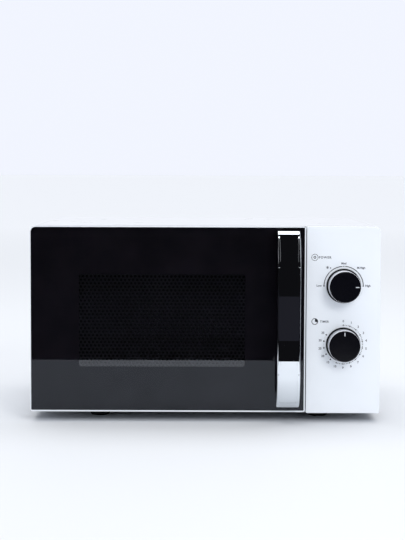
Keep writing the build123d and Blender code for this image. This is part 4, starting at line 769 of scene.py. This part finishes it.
def card(name, corners, material, reflected_only=False):
    mesh = bpy.data.meshes.new(name)
    mesh.from_pydata(corners, [], [tuple(range(len(corners)))])
    mesh.materials.append(material)
    obj = bpy.data.objects.new(name, mesh)
    bpy.context.scene.collection.objects.link(obj)
    if reflected_only:  # it shows in glass and chrome, and through the glass in what lies behind
        obj.visible_camera = obj.visible_diffuse = obj.visible_shadow = obj.visible_volume_scatter = False
    return obj


def upright(name, y, x0, x1, z0, z1, colour):
    corners = [(x0, y, z0), (x1, y, z0), (x1, y, z1), (x0, y, z1)]
    return card(name, corners, glowing(name, colour), reflected_only=True)


def floor_paint():
    """Pale paper with painted shade and light: darker in tone nearer the camera, where the key light is
    strongest, and lighter far back, where the top light falls off, so the floor reads evenly lit.
    """
    s = Shader("floor", (0.86, 0.88, 0.92), 0.6)
    s.put("Specular IOR Level", 0.1)
    along = s.node("ShaderNodeSeparateXYZ")
    s.link(s.coords.outputs["Object"], along.inputs["Vector"])
    share = s.ranged(along.outputs["Y"], 0.0, 1.0, start=-1.0, stop=9.0)
    s.ramp(share, ((0.0, (0.70, 0.72, 0.75)), (0.26, (0.745, 0.765, 0.79)), (0.7, (0.87, 0.89, 0.92))))
    return s.mat


FAR = 60  # metres to the floor's edges, past the horizon
card("floor", [(-FAR, -FAR, 0), (FAR, -FAR, 0), (FAR, FAR, 0), (-FAR, FAR, 0)], floor_paint())

# Dark studio round the front of the oven, seen only in its glass and chrome.
FLAG_Y, FLAG_X, FLAG_TOP = -0.765, 0.62, 2.15
BAND_LOW, BAND_HIGH = 0.042, 0.116  # the paler band that the handle's insert reflects
BLACK, DARK_GREY = (0.005, 0.005, 0.006), (0.015, 0.015, 0.020)
FOOT_X0, FOOT_X1, FOOT_Y, FOOT_Z = 0.118, 0.165, -0.822, 0.0075  # its foot stands further off before the handle
upright("flag_low", FLAG_Y, -FLAG_X, FOOT_X0, 0.0, BAND_LOW, BLACK)
upright("flag_over_foot", FLAG_Y, FOOT_X0, FOOT_X1, FOOT_Z, BAND_LOW, BLACK)
upright("flag_foot", FOOT_Y, FOOT_X0 - 0.02, FOOT_X1 + 0.02, 0.0, 0.03, BLACK)
upright("flag_low_right", FLAG_Y, FOOT_X1, FLAG_X, 0.0, BAND_LOW, BLACK)
upright("flag_middle", FLAG_Y, -FLAG_X, FLAG_X, BAND_LOW, BAND_HIGH, DARK_GREY)
upright("flag_high", FLAG_Y, -FLAG_X, FLAG_X, BAND_HIGH, FLAG_TOP, BLACK)


def wing(name, x, y0, y1, z0, z1, colour):
    corners = [(x, y0, z0), (x, y1, z0), (x, y1, z1), (x, y0, z1)]
    return card(name, corners, glowing(name, colour), reflected_only=True)


CEILING_BACK = -0.37
card("flag_ceiling", [(-FLAG_X, FLAG_Y, FLAG_TOP), (FLAG_X, FLAG_Y, FLAG_TOP), (FLAG_X, CEILING_BACK, FLAG_TOP),
                      (-FLAG_X, CEILING_BACK, FLAG_TOP)], glowing("flag_ceiling", BLACK), reflected_only=True)
for name, side in (("left", -1), ("right", 1)):
    wing("flag_" + name, side * FLAG_X, FLAG_Y, 0.6, 0.0, FLAG_TOP, BLACK)
    wing("strip_" + name, side * (FLAG_X - 0.02), -0.47, -0.30, 0.27, FLAG_TOP, (0.6, 0.6, 0.62))


def light(name, place, target, size, power, colour):
    data = bpy.data.lights.new(name, "AREA")
    data.shape = "RECTANGLE"
    data.size, data.size_y = size
    data.energy = power
    data.color = colour
    obj = bpy.data.objects.new(name, data)
    bpy.context.scene.collection.objects.link(obj)
    obj.location = place
    obj.rotation_euler = (Vector(target) - Vector(place)).to_track_quat("-Z", "Y").to_euler()


light("key", (0.95, -2.3, 1.25), (0, 0, 0.12), (0.9, 0.9), 21, (1.0, 0.99, 0.97))
light("top", (0.0, 0.45, 2.2), (0, 0.45, 0), (2.2, 1.64), 15, (0.97, 0.98, 1.0))

overhead = bpy.data.lights.new("overhead", "SUN")
overhead.energy = 1.5
overhead.angle = math.radians(80)
overhead.color = (1.0, 0.99, 0.97)
bpy.context.scene.collection.objects.link(bpy.data.objects.new("overhead", overhead))

world = bpy.data.worlds.new("studio")
bpy.context.scene.world = world
world.use_nodes = True
tree = world.node_tree
sky = tree.nodes["Background"]
sky.inputs["Color"].default_value = (0.90, 0.93, 1.0, 1.0)
sky.inputs["Strength"].default_value = 0.62
seen = tree.nodes.new("ShaderNodeBackground")
seen.inputs["Color"].default_value = (0.885, 0.915, 1.0, 1.0)
ray = tree.nodes.new("ShaderNodeLightPath")
both = tree.nodes.new("ShaderNodeMixShader")
tree.links.new(ray.outputs["Is Camera Ray"], both.inputs["Fac"])
tree.links.new(sky.outputs["Background"], both.inputs[1])
tree.links.new(seen.outputs["Background"], both.inputs[2])
tree.links.new(both.outputs["Shader"], tree.nodes["World Output"].inputs["Surface"])

bpy.context.scene.view_settings.view_transform = "Standard"

# ---------------------------------------------------------------- camera
CAMERA_AT = Vector((-0.0053, -2.050, 0.3291))
YAW, PITCH, ROLL = (math.radians(a) for a in (0.047, 3.962, 0.199))
FIELD = math.radians(15.594)  # across the picture

ahead = Vector((math.sin(YAW) * math.cos(PITCH), math.cos(YAW) * math.cos(PITCH), -math.sin(PITCH)))
level = Vector((math.cos(YAW), -math.sin(YAW), 0))
upward = level.cross(ahead)
right = math.cos(ROLL) * level + math.sin(ROLL) * upward
up = -math.sin(ROLL) * level + math.cos(ROLL) * upward
lens = bpy.data.cameras.new("camera")
lens.sensor_fit = "HORIZONTAL"
lens.angle = FIELD
camera = bpy.data.objects.new("camera", lens)
bpy.context.scene.collection.objects.link(camera)
camera.matrix_world = Matrix.Translation(CAMERA_AT) @ Matrix((right, up, -ahead)).transposed().to_4x4()
bpy.context.scene.camera = camera
